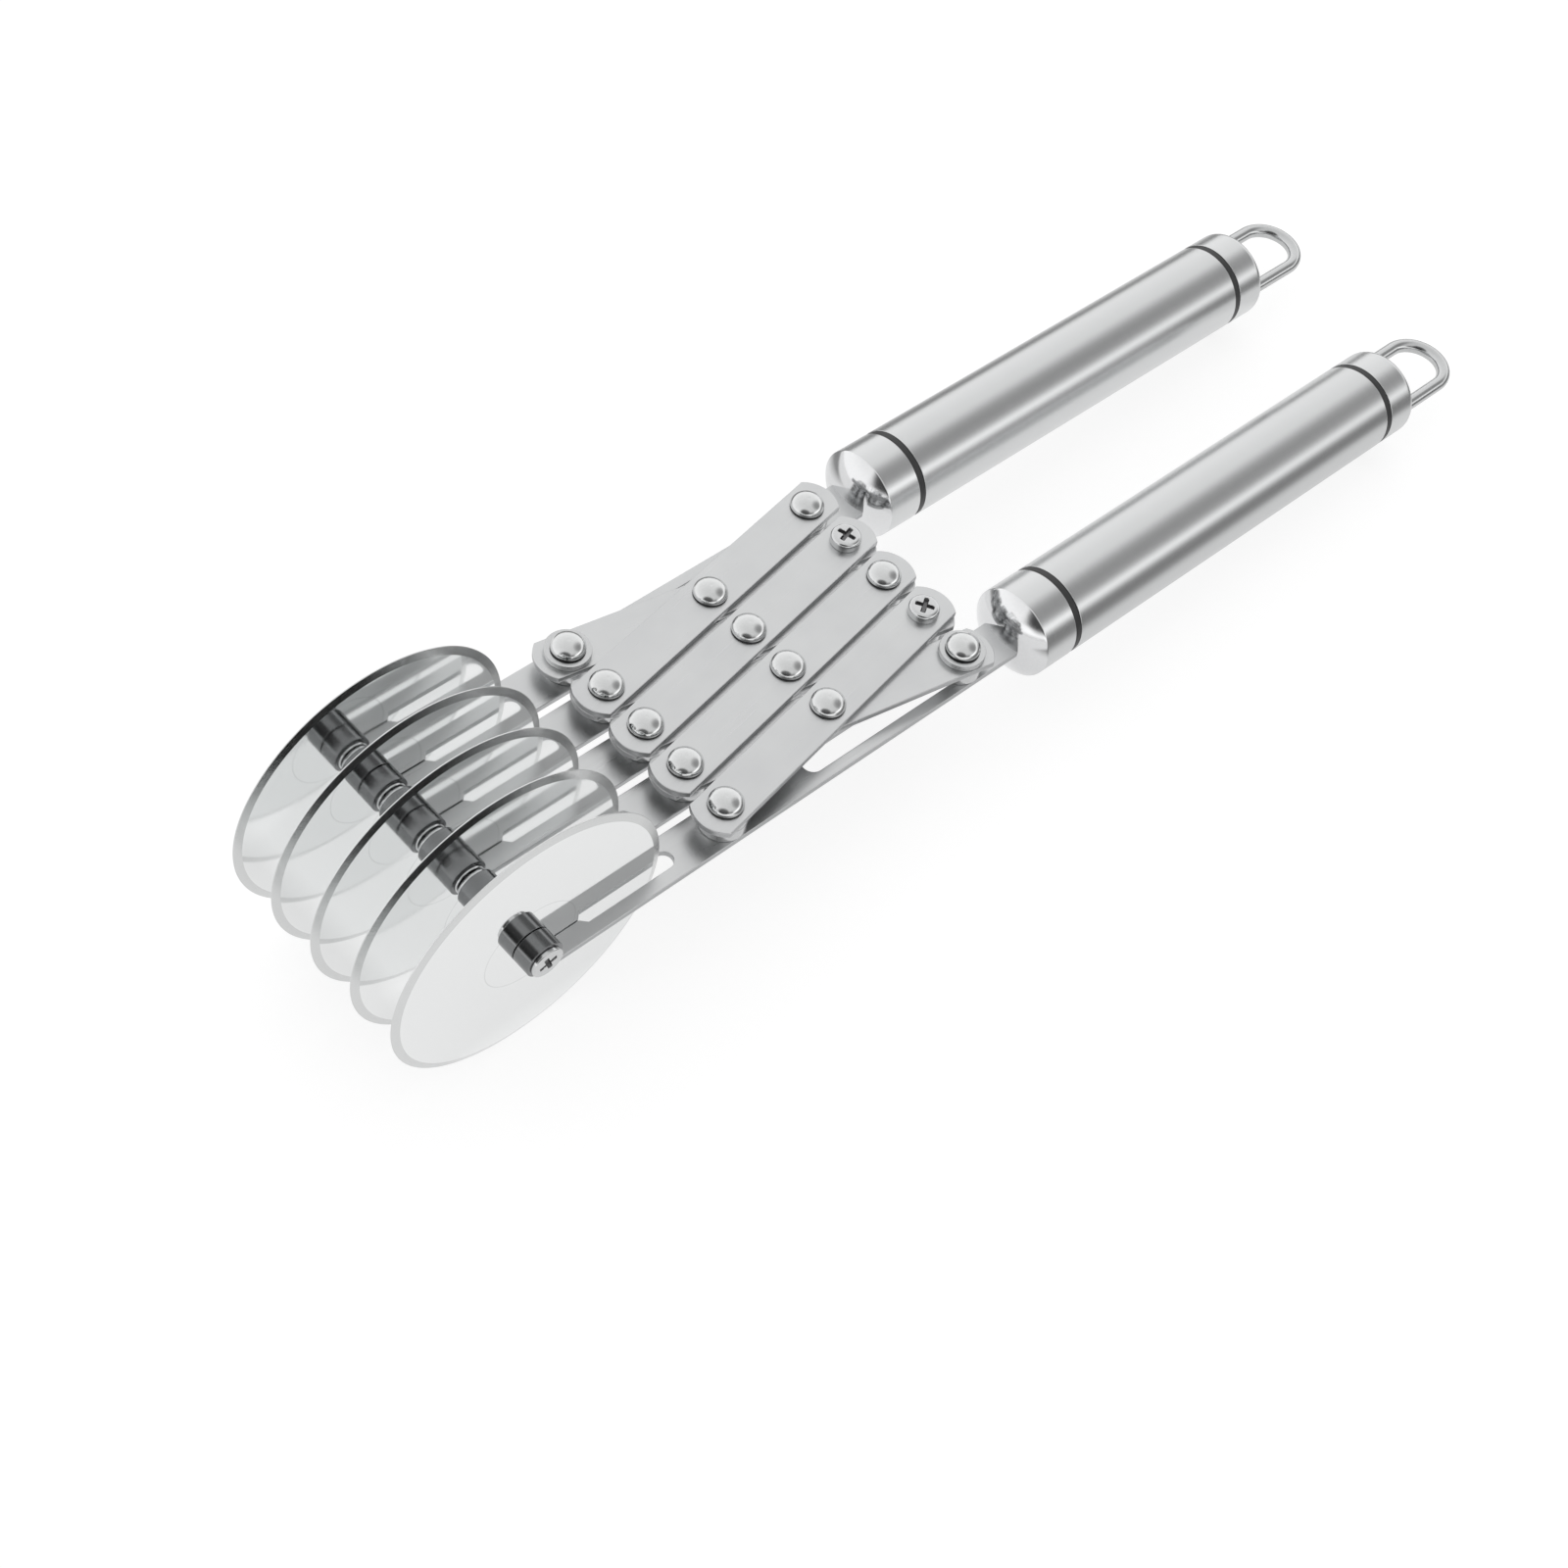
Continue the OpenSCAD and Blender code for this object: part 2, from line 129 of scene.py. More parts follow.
BEND_X = END_X + LOOP_L
REST = np.array([END_X - REAR_ROUND, HANDLE_R - PLATE_MID])
PITCH = np.arcsin(WHEEL_R / np.linalg.norm(REST)) - np.arctan(REST[1] / REST[0])
SHIFT_X = (
    WHEEL_R - (BEND_X + LOOP_W / 2) * np.cos(PITCH) - PLATE_MID * np.sin(PITCH) - WIRE_R
) / 2
print("pitch", round(np.degrees(PITCH), 3), "degrees; shift", round(SHIFT_X, 3), "mm")

# %% [markdown]
# ## From the level frame to the table
#
# The cutter lies on its wheels and on the lower edges of its rear caps, so it
# is pitched about four degrees. One function turns level millimetres into the
# row frame's metres.


# %% Place helpers
def row_y(k):
    """Y of arm, wheel or rivet number k."""
    return (3 - k) * SPACING


def on_table(level):
    """Row-frame metres of level-frame millimetres: a turn by PITCH about Y, a shift, a scale."""
    x, y, z = np.asarray(level, float).T
    turned_x = x * np.cos(PITCH) + z * np.sin(PITCH) + SHIFT_X
    turned_z = -x * np.sin(PITCH) + z * np.cos(PITCH) + WHEEL_R
    return np.stack([turned_x, y, turned_z], -1) / 1000


print("axle of wheel 3 is at", on_table([[0, 0, 0]])[0].round(5))

# %% [markdown]
# ## Surfaces as arrays
#
# A grid of points and its quads is all that is needed: a turned shape is a
# profile carried round an axis, a wire is a circle carried along a path, and a
# flat plate is a section carried along its two edges. Blender's own primitives
# would be quicker to add, but could not carry these exact sections.


# %% Grids, profiles and turned shapes
def grid(rows, columns, ring_rows=False, ring_columns=False):
    """Quads between rows x columns points numbered row by row; a ring closes on itself."""
    i = np.arange(rows if ring_rows else rows - 1)
    j = np.arange(columns if ring_columns else columns - 1)
    i, j = (a.ravel() for a in np.meshgrid(i, j, indexing="ij"))
    i2, j2 = (i + 1) % rows, (j + 1) % columns
    return np.stack(
        [i * columns + j, i2 * columns + j, i2 * columns + j2, i * columns + j2], -1
    )


def rounded(*corners, steps=4):
    """A 2D line through corners (a, b, radius), each corner with a radius replaced by an arc.

    The arc is the curve start, corner, end: (1-t)^2 start + 2t(1-t) corner + t^2 end.
    """
    corners = np.array(corners, float)
    t = np.linspace(0, 1, steps + 1)[:, None]
    made = [corners[:1, :2]]
    for before, here, after in zip(corners[:-2], corners[1:-1], corners[2:]):
        if here[2] == 0:
            made.append(here[None, :2])
            continue
        back, on = before[:2] - here[:2], after[:2] - here[:2]
        start = here[:2] + back / np.linalg.norm(back) * here[2]
        end = here[:2] + on / np.linalg.norm(on) * here[2]
        made.append((1 - t) ** 2 * start + 2 * t * (1 - t) * here[:2] + t**2 * end)
    return np.concatenate([*made, corners[-1:, :2]])


def turned(profile, steps=96, closed=False):
    """A profile (radius, height) carried round Z: (r cos a, r sin a, height)."""
    profile = np.asarray(profile, float)
    a = np.linspace(0, 2 * np.pi, steps, endpoint=False)[:, None]
    r, h = profile.T
    points = np.stack([r * np.cos(a), r * np.sin(a), h + 0 * a], -1).reshape(-1, 3)
    return points, grid(steps, len(profile), True, closed)


def together(*shapes):
    """One (points, faces) from several, each a pair of the same kind."""
    points, faces, first = [], [], 0
    for p, f in shapes:
        points.append(p)
        listed = f if isinstance(f, list) else f.tolist()
        faces += [[first + i for i in face] for face in listed]
        first += len(p)
    return np.concatenate(points), faces


# %% [markdown]
# ## From arrays to pieces
#
# Every piece stands for one CAD node, rides on that node's body and keeps its
# place in its mesh. Doubles at poles and seams are merged, the faces are made
# to point outwards, and a Weighted Normal modifier keeps flat faces flat while
# the small rounded edges catch the light.

# %% The piece maker
MERGE = 1e-6


def piece(node, ending, shape, finishes, crease=38, split=None):
    """Makes node_ending from (points, faces) in level millimetres, to stand for that CAD node."""
    points, faces = shape
    faces = faces if isinstance(faces, list) else faces.tolist()
    mesh = bpy.data.meshes.new(f"{node}_{ending}")
    mesh.from_pydata(on_table(points).tolist(), [], faces)
    for finish in finishes:
        mesh.materials.append(finish)
    if split is not None:
        mesh.polygons.foreach_set("material_index", np.asarray(split, np.int32))
    shell = bmesh.new()
    shell.from_mesh(mesh)
    bmesh.ops.remove_doubles(shell, verts=shell.verts, dist=MERGE)
    bmesh.ops.dissolve_degenerate(shell, edges=shell.edges, dist=MERGE)
    bmesh.ops.recalc_face_normals(shell, faces=shell.faces)
    loose = sum(not edge.is_manifold for edge in shell.edges)
    shell.to_mesh(mesh)
    shell.free()
    mesh.polygons.foreach_set("use_smooth", np.ones(len(mesh.polygons), bool))
    mesh.set_sharp_from_angle(angle=np.radians(crease))
    made = bpy.data.objects.new(mesh.name, mesh)
    bpy.context.scene.collection.objects.link(made)
    weighted = made.modifiers.new("flat faces stay flat", "WEIGHTED_NORMAL")
    weighted.keep_sharp = True
    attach(made, home[node])
    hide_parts(node)
    if loose:
        print(made.name, "has", loose, "open edges")
    return made


# %% [markdown]
# ## Finishes
#
# Everything but the black rings is bright steel, mostly stainless, so the
# pieces differ only in how each was finished: mirror-polished, ground, brushed
# along, brushed around or plated. A metal's colour is its reflection, and what
# tells the finishes apart is roughness and the direction of the fine lines.
# One small helper adds a node with its settings and links.


# %% Colour and node helpers
def paint(code):
    """Linear RGBA of an sRGB hex colour such as #c8c9ca."""
    s = np.array([int(code[i : i + 2], 16) for i in (1, 3, 5)]) / 255
    linear = np.where(s <= 0.04045, s / 12.92, ((s + 0.055) / 1.055) ** 2.4)
    return (*linear, 1.0)


def per_metre(size_mm):
    """Texture scale whose features are about size_mm long."""
    return 1000 / size_mm


def add(tree, kind, inputs=None, **settings):
    """Adds a node; an input that is another node's socket is linked, and a value is set."""
    made = tree.nodes.new(kind)
    for name, value in settings.items():
        setattr(made, name, value)
    for name, value in (inputs or {}).items():
        if isinstance(value, bpy.types.NodeSocket):
            tree.links.new(value, made.inputs[name])
        else:
            made.inputs[name].default_value = value
    return made


def begin(name):
    """An empty node material."""
    material = bpy.data.materials.new(name)
    material.use_nodes = True
    material.node_tree.nodes.clear()
    return material, material.node_tree


def finished(material, tone, rough, relief, metallic=1):
    """The material with its surface made from a tone, a roughness and a relief."""
    tree = material.node_tree
    surface = add(
        tree,
        "ShaderNodeBsdfPrincipled",
        {"Base Color": tone, "Metallic": metallic, "Roughness": rough, "Normal": relief},
    )
    add(tree, "ShaderNodeOutputMaterial", {"Surface": surface.outputs[0]})
    return material


# %% [markdown]
# ### Brushed sheet steel
#
# The arms and links are punched from cold-rolled stainless sheet and brushed
# along their length: a soft grey reflection with lengthwise streaks. These are
# noise stretched along the strip, in Object coordinates turned to its length.
# A real brush line is under 0.1 mm wide and would not show, so the streaks are
# drawn 0.3 mm wide, and the lines of the other finishes are coarsened as well.


# %% Brushed sheet
def brushed_sheet(name, turn):
    """Brushed stainless sheet whose length leans by turn from the level X axis."""
    material, tree = begin(name)
    spot = add(tree, "ShaderNodeTexCoord").outputs["Object"]
    strip = add(
        tree, "ShaderNodeMapping", {"Vector": spot, "Rotation": (0, -PITCH, -turn)}
    ).outputs[0]
    streaks = add(
        tree,
        "ShaderNodeMapping",
        {"Vector": strip, "Scale": (per_metre(22), per_metre(0.3), per_metre(0.3))},
    ).outputs[0]
    lines = add(
        tree, "ShaderNodeTexNoise", {"Vector": streaks, "Scale": 1, "Detail": 3, "Roughness": 0.6}
    ).outputs["Fac"]
    cloud = add(
        tree, "ShaderNodeTexNoise", {"Vector": strip, "Scale": per_metre(9), "Detail": 2}
    ).outputs["Fac"]
    tone = add(
        tree, "ShaderNodeMix", {0: cloud, 6: paint("#c9cacb"), 7: paint("#d5d6d6")}, data_type="RGBA"
    ).outputs[2]
    rough = add(
        tree,
        "ShaderNodeMapRange",
        {"Value": lines, "From Min": 0.3, "From Max": 0.7, "To Min": 0.27, "To Max": 0.37},
    ).outputs[0]
    relief = add(
        tree, "ShaderNodeBump", {"Height": lines, "Strength": 0.35, "Distance": 0.00001}
    ).outputs[0]
    return finished(material, tone, rough, relief)


arm_finish = brushed_sheet("brushed_stainless_arm", 0)
lower_finish = brushed_sheet("brushed_stainless_lower_link", -LEAN)
upper_finish = brushed_sheet("brushed_stainless_upper_link", LEAN)
print("sheet finishes:", arm_finish.name, lower_finish.name, upper_finish.name)

# %% [markdown]
# ### Polished wheels with a ground edge
#
# A wheel is mirror-polished by spinning it against a felt, which leaves very
# faint rings, and its rim is ground to a bevel across which the grinding lines
# run. Both patterns need the distance and the angle from the axle, which all
# five wheels share, so a Mapping node moves the axle to the origin first.


# %% Polished and ground wheel steel
HUB_RING_R = 9.5
AXLE = on_table([[0, 0, 0]])[0]


def around_axle(tree):
    """Sockets of the distance from the axle in metres, and the angle about it."""
    spot = add(tree, "ShaderNodeTexCoord").outputs["Object"]
    hub = add(
        tree, "ShaderNodeMapping", {"Vector": spot, "Location": (-AXLE[0], 0, -AXLE[2])}
    ).outputs[0]
    part = add(tree, "ShaderNodeSeparateXYZ", {"Vector": hub})
    flat = add(tree, "ShaderNodeCombineXYZ", {"X": part.outputs[0], "Y": part.outputs[2]})
    radius = add(
        tree, "ShaderNodeVectorMath", {0: flat.outputs[0]}, operation="LENGTH"
    ).outputs["Value"]
    angle = add(
        tree, "ShaderNodeMath", {0: part.outputs[2], 1: part.outputs[0]}, operation="ARCTAN2"
    ).outputs[0]
    return radius, angle


def polished_wheel():
    """Mirror-polished stainless with faint polishing rings and the pressed ring round the hub."""
    material, tree = begin("mirror_polished_stainless_wheel")
    radius, _ = around_axle(tree)
    rings = add(
        tree,
        "ShaderNodeTexNoise",
        {"W": radius, "Scale": per_metre(0.5), "Detail": 2},
        noise_dimensions="1D",
    ).outputs["Fac"]
    spot = add(tree, "ShaderNodeTexCoord").outputs["Object"]
    haze = add(
        tree, "ShaderNodeTexNoise", {"Vector": spot, "Scale": per_metre(14), "Detail": 3}
    ).outputs["Fac"]
    off = add(
        tree, "ShaderNodeMath", {0: radius, 1: HUB_RING_R / 1000}, operation="SUBTRACT"
    ).outputs[0]
    away = add(tree, "ShaderNodeMath", {0: off}, operation="ABSOLUTE").outputs[0]
    pressed = add(
        tree,
        "ShaderNodeMapRange",
        {"Value": away, "From Min": 0, "From Max": 0.00015, "To Min": 1, "To Max": 0},
    ).outputs[0]
    tone = add(
        tree, "ShaderNodeMix", {0: pressed, 6: paint("#f3f4f4"), 7: paint("#dfe0e0")}, data_type="RGBA"
    ).outputs[2]
    rough = add(
        tree,
        "ShaderNodeMapRange",
        {"Value": haze, "From Min": 0.35, "From Max": 0.75, "To Min": 0.03, "To Max": 0.08},
    ).outputs[0]
    relief = add(
        tree, "ShaderNodeBump", {"Height": rings, "Strength": 0.02, "Distance": 0.00001}
    ).outputs[0]
    return finished(material, tone, rough, relief)


def ground_bevel():
    """Ground stainless: lines 0.15 mm wide at the rim, running from the flat to the edge."""
    material, tree = begin("ground_stainless_bevel")
    _, angle = around_axle(tree)
    lines = add(
        tree,
        "ShaderNodeTexNoise",
        {"W": angle, "Scale": WHEEL_R / 0.15, "Detail": 2},
        noise_dimensions="1D",
    ).outputs["Fac"]
    tone = add(
        tree, "ShaderNodeMix", {0: lines, 6: paint("#d4d5d5"), 7: paint("#e3e4e4")}, data_type="RGBA"
    ).outputs[2]
    relief = add(
        tree, "ShaderNodeBump", {"Height": lines, "Strength": 0.6, "Distance": 0.00003}
    ).outputs[0]
    return finished(material, tone, rough=0.21, relief=relief)


wheel_finish, bevel_finish = polished_wheel(), ground_bevel()
print("wheel finishes:", wheel_finish.name, bevel_finish.name)

# %% [markdown]
# ### Turned and plated parts
#
# Rivets are polished and screws plated with bright zinc: almost a mirror, but
# with the slight waviness of a headed blank. A screw's cross has painted shade,
# and the wall under a rivet's dome has painted shade, a dark line which sets the dome off from its link.
# Rolling leaves the arms' knuckles smoother than the sheet, and their darker
# tone is painted shade, standing in for the shade between the wheels; shearing
# leaves a torn, matt edge. Spacers are plain turned steel. The handle tubes and the caps' bands
# are satin steel brushed round and round, which draws fine lines across their length. The hanging loops
# are drawn wire.


# %% Plated, turned, satin and drawn steel
def bright(name, low, high, rough, wave_mm, wave):
    """Bright steel with specks of 0.35 mm and a waviness of wave_mm."""
    material, tree = begin(name)
    spot = add(tree, "ShaderNodeTexCoord").outputs["Object"]
    waves = add(
        tree, "ShaderNodeTexNoise", {"Vector": spot, "Scale": per_metre(wave_mm), "Detail": 2}
    ).outputs["Fac"]
    specks = add(
        tree, "ShaderNodeTexNoise", {"Vector": spot, "Scale": per_metre(0.35), "Detail": 2}
    ).outputs["Fac"]
    tone = add(
        tree, "ShaderNodeMix", {0: specks, 6: paint(low), 7: paint(high)}, data_type="RGBA"
    ).outputs[2]
    least, most = rough * 0.8, rough * 1.3
    roughness = add(
        tree,
        "ShaderNodeMapRange",
        {"Value": specks, "From Min": 0.3, "From Max": 0.7, "To Min": least, "To Max": most},
    ).outputs[0]
    relief = add(
        tree, "ShaderNodeBump", {"Height": waves, "Strength": wave, "Distance": 0.00005}
    ).outputs[0]
    return finished(material, tone, roughness, relief)


def satin_round(name, low, high, rough):
    """Satin steel with lines 9 mm long round the handle's axis and 0.12 mm apart along it."""
    material, tree = begin(name)
    spot = add(tree, "ShaderNodeTexCoord").outputs["Object"]
    level = add(tree, "ShaderNodeMapping", {"Vector": spot, "Rotation": (0, -PITCH, 0)}).outputs[0]
    hoops = add(
        tree,
        "ShaderNodeMapping",
        {"Vector": level, "Scale": (per_metre(0.12), per_metre(9), per_metre(9))},
    ).outputs[0]
    lines = add(
        tree, "ShaderNodeTexNoise", {"Vector": hoops, "Scale": 1, "Detail": 3, "Roughness": 0.6}
    ).outputs["Fac"]
    tone = add(
        tree, "ShaderNodeMix", {0: lines, 6: paint(low), 7: paint(high)}, data_type="RGBA"
    ).outputs[2]
    least, most = rough * 0.95, rough * 1.05
    roughness = add(
        tree,
        "ShaderNodeMapRange",
        {"Value": lines, "From Min": 0.3, "From Max": 0.7, "To Min": least, "To Max": most},
    ).outputs[0]
    relief = add(
        tree, "ShaderNodeBump", {"Height": lines, "Strength": 0.04, "Distance": 0.00001}
    ).outputs[0]
    return finished(material, tone, roughness, relief)


rivet_finish = bright("polished_steel_rivet", "#d0d1d1", "#dadbdb", 0.14, 1.6, 0.03)
screw_finish = bright("zinc_plated_screw", "#c8c9ca", "#d6d7d7", 0.09, 0.9, 0.08)
washer_finish = bright("turned_steel_washer", "#c2c3c4", "#d0d1d1", 0.2, 0.6, 0.05)
dome_finish = bright("polished_steel_cap_face", "#dadbdc", "#e6e6e7", 0.11, 3.5, 0.04)
wire_finish = bright("drawn_steel_wire", "#bfc0c1", "#cdcece", 0.15, 0.5, 0.05)
# the cross recess of a screw: painted shade, a darker tone for the shade inside the recess
recess_painted_shade = bright("shadowed_cross_recess", "#707071", "#7c7c7d", 0.4, 0.3, 0.1)
# the wall under a rivet's dome: painted shade, a dark contact line at the foot of the head
head_painted_shade = bright("painted_shade_under_a_head", "#3e3e3f", "#4a4a4b", 0.4, 0.3, 0.1)
# the rolled knuckles: smoother steel whose darker tone is painted shade for the shade between the wheels
knuckle_painted_shade = bright("painted_shade_rolled_knuckle", "#7a7b7c", "#868788", 0.14, 0.5, 0.06)
sheared_finish = bright("sheared_steel_edge", "#a6a7a8", "#bdbebf", 0.34, 0.25, 0.4)
tube_finish = satin_round("satin_stainless_tube", "#cdcecf", "#d3d4d4", 0.26)
cap_finish = satin_round("satin_stainless_cap", "#cfd0d1", "#d8d9d9", 0.25)
print("turned finishes:", [m.name for m in (rivet_finish, screw_finish, tube_finish)])

# %% [markdown]
# ### Black rings
#
# The rings between tube and caps are moulded nylon: dark grey rather than
# black, with a soft sheen and the faint grain of the mould.


# %% Moulded ring
def moulded_ring():
    """Moulded black nylon with a grain of 0.4 mm."""
    material, tree = begin("moulded_black_nylon")
    spot = add(tree, "ShaderNodeTexCoord").outputs["Object"]
    grain = add(
        tree, "ShaderNodeTexNoise", {"Vector": spot, "Scale": per_metre(0.4), "Detail": 3}
    ).outputs["Fac"]
    tone = add(
        tree, "ShaderNodeMix", {0: grain, 6: paint("#2a2a2b"), 7: paint("#363637")}, data_type="RGBA"
    ).outputs[2]
    relief = add(
        tree, "ShaderNodeBump", {"Height": grain, "Strength": 0.3, "Distance": 0.00002}
    ).outputs[0]
    return finished(material, tone, rough=0.45, relief=relief, metallic=0)


ring_finish = moulded_ring()
print("ring finish:", ring_finish.name)

# %% [markdown]
# ## The wheels
#
# A wheel is a disc 1 mm thick whose rim is ground to a bevel on both faces. It
# could be a cylinder with a bevel modifier, but a turned section puts the flat,
# the bevel and the thin edge exactly where the grinder did, and lets the flat
# and the bevel have their own finish.


# %% Wheels
def wheel_shape(k, keen=0.06, steps=288):
    """A closed section (radius, height) carried round Y: bore, flat, bevel, edge and back."""
    flat_r, half, edge = WHEEL_R - BEVEL_W, WHEEL_T / 2, EDGE_T / 2
    rim = rounded(
        (flat_r, -half, 0), (WHEEL_R, -edge, keen), (WHEEL_R, edge, keen), (flat_r, half, 0)
    )
    section = np.concatenate([[[BORE_R, -half]], rim, [[BORE_R, half]]])
    points, faces = turned(section, steps, closed=True)
    middle = (section + np.roll(section, -1, axis=0)) / 2
    on_bevel = np.tile(middle[:, 0] > flat_r, steps)
    x, y, z = points.T
    return np.stack([x, z + row_y(k), y], -1), faces, on_bevel


finishes = [wheel_finish, bevel_finish]
for k in range(1, 6):
    *shape, on_bevel = wheel_shape(k)
    piece(f"wheel_{k}", "ground", shape, finishes, crease=8, split=on_bevel)
print("wheels: 5, faces each", len(on_bevel))

# %% [markdown]
# ## Screws
#
# Every wheel turns on an axle screw whose head faces the viewer, and two of the
# rear pins are screws as well. A cross recess could be cut with a boolean. Here
# the head is a turned surface, and the points of its top are lowered by a cross
# function, which gives the recess its soft sloping walls.


# %% Screw heads with a cross recess
FINE = 0.07  # spacing of a head's points, fine enough to draw its cross
AXLE_TURN = np.radians(20)


def cross(x, y, turn, wall=0.12):
    """1 inside a cross of CROSS_L by CROSS_W turned by an angle, 0 outside, sloping at its wall."""
    u = x * np.cos(turn) + y * np.sin(turn)
    v = y * np.cos(turn) - x * np.sin(turn)

    def bar(p, q):
        across = np.clip((CROSS_W / 2 - np.abs(q)) / wall + 0.5, 0, 1)
        lengthwise = np.clip((CROSS_L / 2 - np.abs(p)) / (3 * wall) + 0.5, 0, 1)
        return across * lengthwise

    return np.maximum(bar(u, v), bar(v, u))


def sunk_cross(points, faces, top, depth, turn):
    """Lowers the points above top by depth times the cross function, and marks the faces in it."""
    share = cross(points[:, 0], points[:, 1], turn) * (points[:, 2] > top)
    sunk = points.copy()
    sunk[:, 2] -= depth * share
    return sunk, share[faces].mean(1) > 0.15


def filled(line, gap):
    """A line's points with more between them, no further than gap apart."""
    runs = [
        np.linspace(a, b, max(2, int(np.ceil(np.linalg.norm(b - a) / gap)) + 1))[:-1]
        for a, b in zip(line[:-1], line[1:])
    ]
    return np.concatenate([*runs, line[-1:]])


def axle_screw_shape(k):
    """Head, shank and peened end of an axle screw as one turned section from pole to pole."""
    reach = ARM_W / 2 + SLIDE_GAP
    top = reach + AXLE_HEAD_H
    head = rounded(
        (0, top, 0), (AXLE_HEAD_R, top, 0.3), (AXLE_HEAD_R, reach, 0.08), (AXLE_R, reach, 0)
    )
    end = -reach - AXLE_TAIL_H
    tail = rounded(
        (AXLE_R, -reach, 0), (AXLE_TAIL_R, -reach, 0.06), (AXLE_TAIL_R, end, 0.3), (0, end, 0)
    )
    section = np.concatenate([filled(head[:2], FINE), head[2:], tail])
    points, faces = turned(section, 120)
    points, inside = sunk_cross(points, faces, top - 0.01, depth=AXLE_HEAD_H * 0.8, turn=AXLE_TURN)
    x, y, z = points.T
    return (np.stack([x, row_y(k) - z, y], -1), faces), inside


# faces inside a cross get the painted shade of the recess
screw_finishes = [screw_finish, recess_painted_shade]
for k in range(1, 6):
    shape, inside = axle_screw_shape(k)
    piece(f"axle_screw_{k}", "plated", shape, screw_finishes, split=inside)
print("axle screws: 5")

# %% [markdown]
# ## Flat strips
#
# Arms and links are blanked from sheet, so a strip is one half of a plate and
# its mirror image. The half is a closed section carried along two lines of
# stations: the outer edge, and the middle line, which goes round each hole or
# slot on its way. Solidify and Bevel on a flat outline would come close, but
# here the rolled front end can be bent from the same grid.


# %% Lines of stations and half plates
def straight(y, start, stop, points):
    """Evenly spaced points at that y from one x to another."""
    return np.linspace((start, y), (stop, y), points)


def arc(x, radius, start, stop, points):
    """Points round (x, 0) from one angle to another, in degrees."""
    a = np.radians(np.linspace(start, stop, points))
    return np.stack([x + radius * np.cos(a), radius * np.sin(a)], -1)


def stations(*runs):
    """Joins runs of (inner points, outer points, has a wall) that follow each other."""
    inner, outer = runs[0][0], runs[0][1]
    wall = np.full(len(inner), runs[0][2])
    for more_inner, more_outer, has_wall in runs[1:]:
        wall[-1] |= has_wall
        inner = np.concatenate([inner, more_inner[1:]])
        outer = np.concatenate([outer, more_outer[1:]])
        wall = np.concatenate([wall, np.full(len(more_inner) - 1, has_wall)])
    return inner, outer, wall


def half_plate(inner, outer, wall, thickness, edge, steps=3):
    """Points (s, y, height) and quads of half a plate, and which quads are its sheared sides.

    Its section goes down over the outer edge, back underneath, up the inner edge and over the top.
    At angle a of a rounded edge a point is the line's point - edge (1 - cos a) outward, at height
    thickness / 2 - edge (1 - sin a). Where the inner line is the plate's middle it has no wall.
    """
    a = np.radians(np.linspace(90, 0, steps + 1))
    inset = np.tile(edge * (1 - np.cos(a)), 2)
    inset[steps + 1 :] = inset[steps::-1]
    level = thickness / 2 - edge * (1 - np.sin(a))
    level = np.concatenate([level, -level[::-1]])

    def side(points, sign, has_wall):
        run = np.diff(points, axis=0)
        run /= np.maximum(np.linalg.norm(run, axis=1, keepdims=True), 1e-9)
        tangent = np.concatenate([run[:1], run[:-1] + run[1:], run[-1:]])
        outward = sign * np.stack([-tangent[:, 1], tangent[:, 0]], -1)
        outward[np.abs(points[:, 1]) < 1e-6, 1] = 0
        outward /= np.maximum(np.linalg.norm(outward, axis=1, keepdims=True), 1e-9)
        shift = (inset * has_wall[:, None])[..., None] * outward[:, None]
        height = np.where(has_wall[:, None], level, np.sign(level) * thickness / 2)
        return np.concatenate([points[:, None] - shift, height[..., None]], -1)

    everywhere = np.full(len(outer), True)
    section = np.concatenate([side(outer, 1, everywhere), side(inner, -1, wall)[:, ::-1]], 1)
    rows, columns = section.shape[:2]
    row, column = np.divmod(np.arange((rows - 1) * columns), columns)
    inner_wall = (column >= columns // 2) & (column < columns - 1)
    keep = ~inner_wall | (wall[row] & wall[row + 1])
    sheared = (column == steps) | (column == columns // 2 + steps)
    return section.reshape(-1, 3), grid(rows, columns, False, True)[keep], sheared[keep]


def both_halves(points, faces, capped=0):
    """A half and its mirror image across y = 0.

    Where capped is set, a face closes the first station's section of that many points.
    """
    faces = faces.tolist() + ([list(range(capped))] if capped else [])
    return together((points, faces), (points * [1, -1, 1], faces))


# %% [markdown]
# ## The arms
#
# The front end of each arm is slit, so that the wheel can stand in it, and then
# rolled into a knuckle round the axle. The flat half plate is worked out first,
# with the slit, the wheel's slot, the rivet hole and the long rear slot. Then
# all its points with s below zero are wound onto the axle.


# %% Arms
ROLL_ANGLE, SLOT_SPARE, EDGE = np.radians(305), 0.3, 0.16
ROLL_END = -ROLL_ANGLE * ROLL_R
SLOT_R = SLOT_W / 2
SLOT_START = SLIT_END + SLOT_R - SLIT_W / 2
SLOT_ROUND = SLOT_END - SLOT_R
REAR_SLOT = (REAR_OPEN_X - SLOT_SPARE, REAR_X + SLOT_SPARE)


def rolled(points):
    """(s, y, height) onto the arm: straight for s above 0, and below it wound on the axle.

    With the angle a = s / ROLL_R, x = (ROLL_R - height) sin a and z = -(ROLL_R - height) cos a.
    """
    s, y, height = points.T
    a = np.minimum(s, 0) / ROLL_R
    x = np.maximum(s, 0) + (ROLL_R - height) * np.sin(a)
    return np.stack([x, y, (height - ROLL_R) * np.cos(a)], -1)


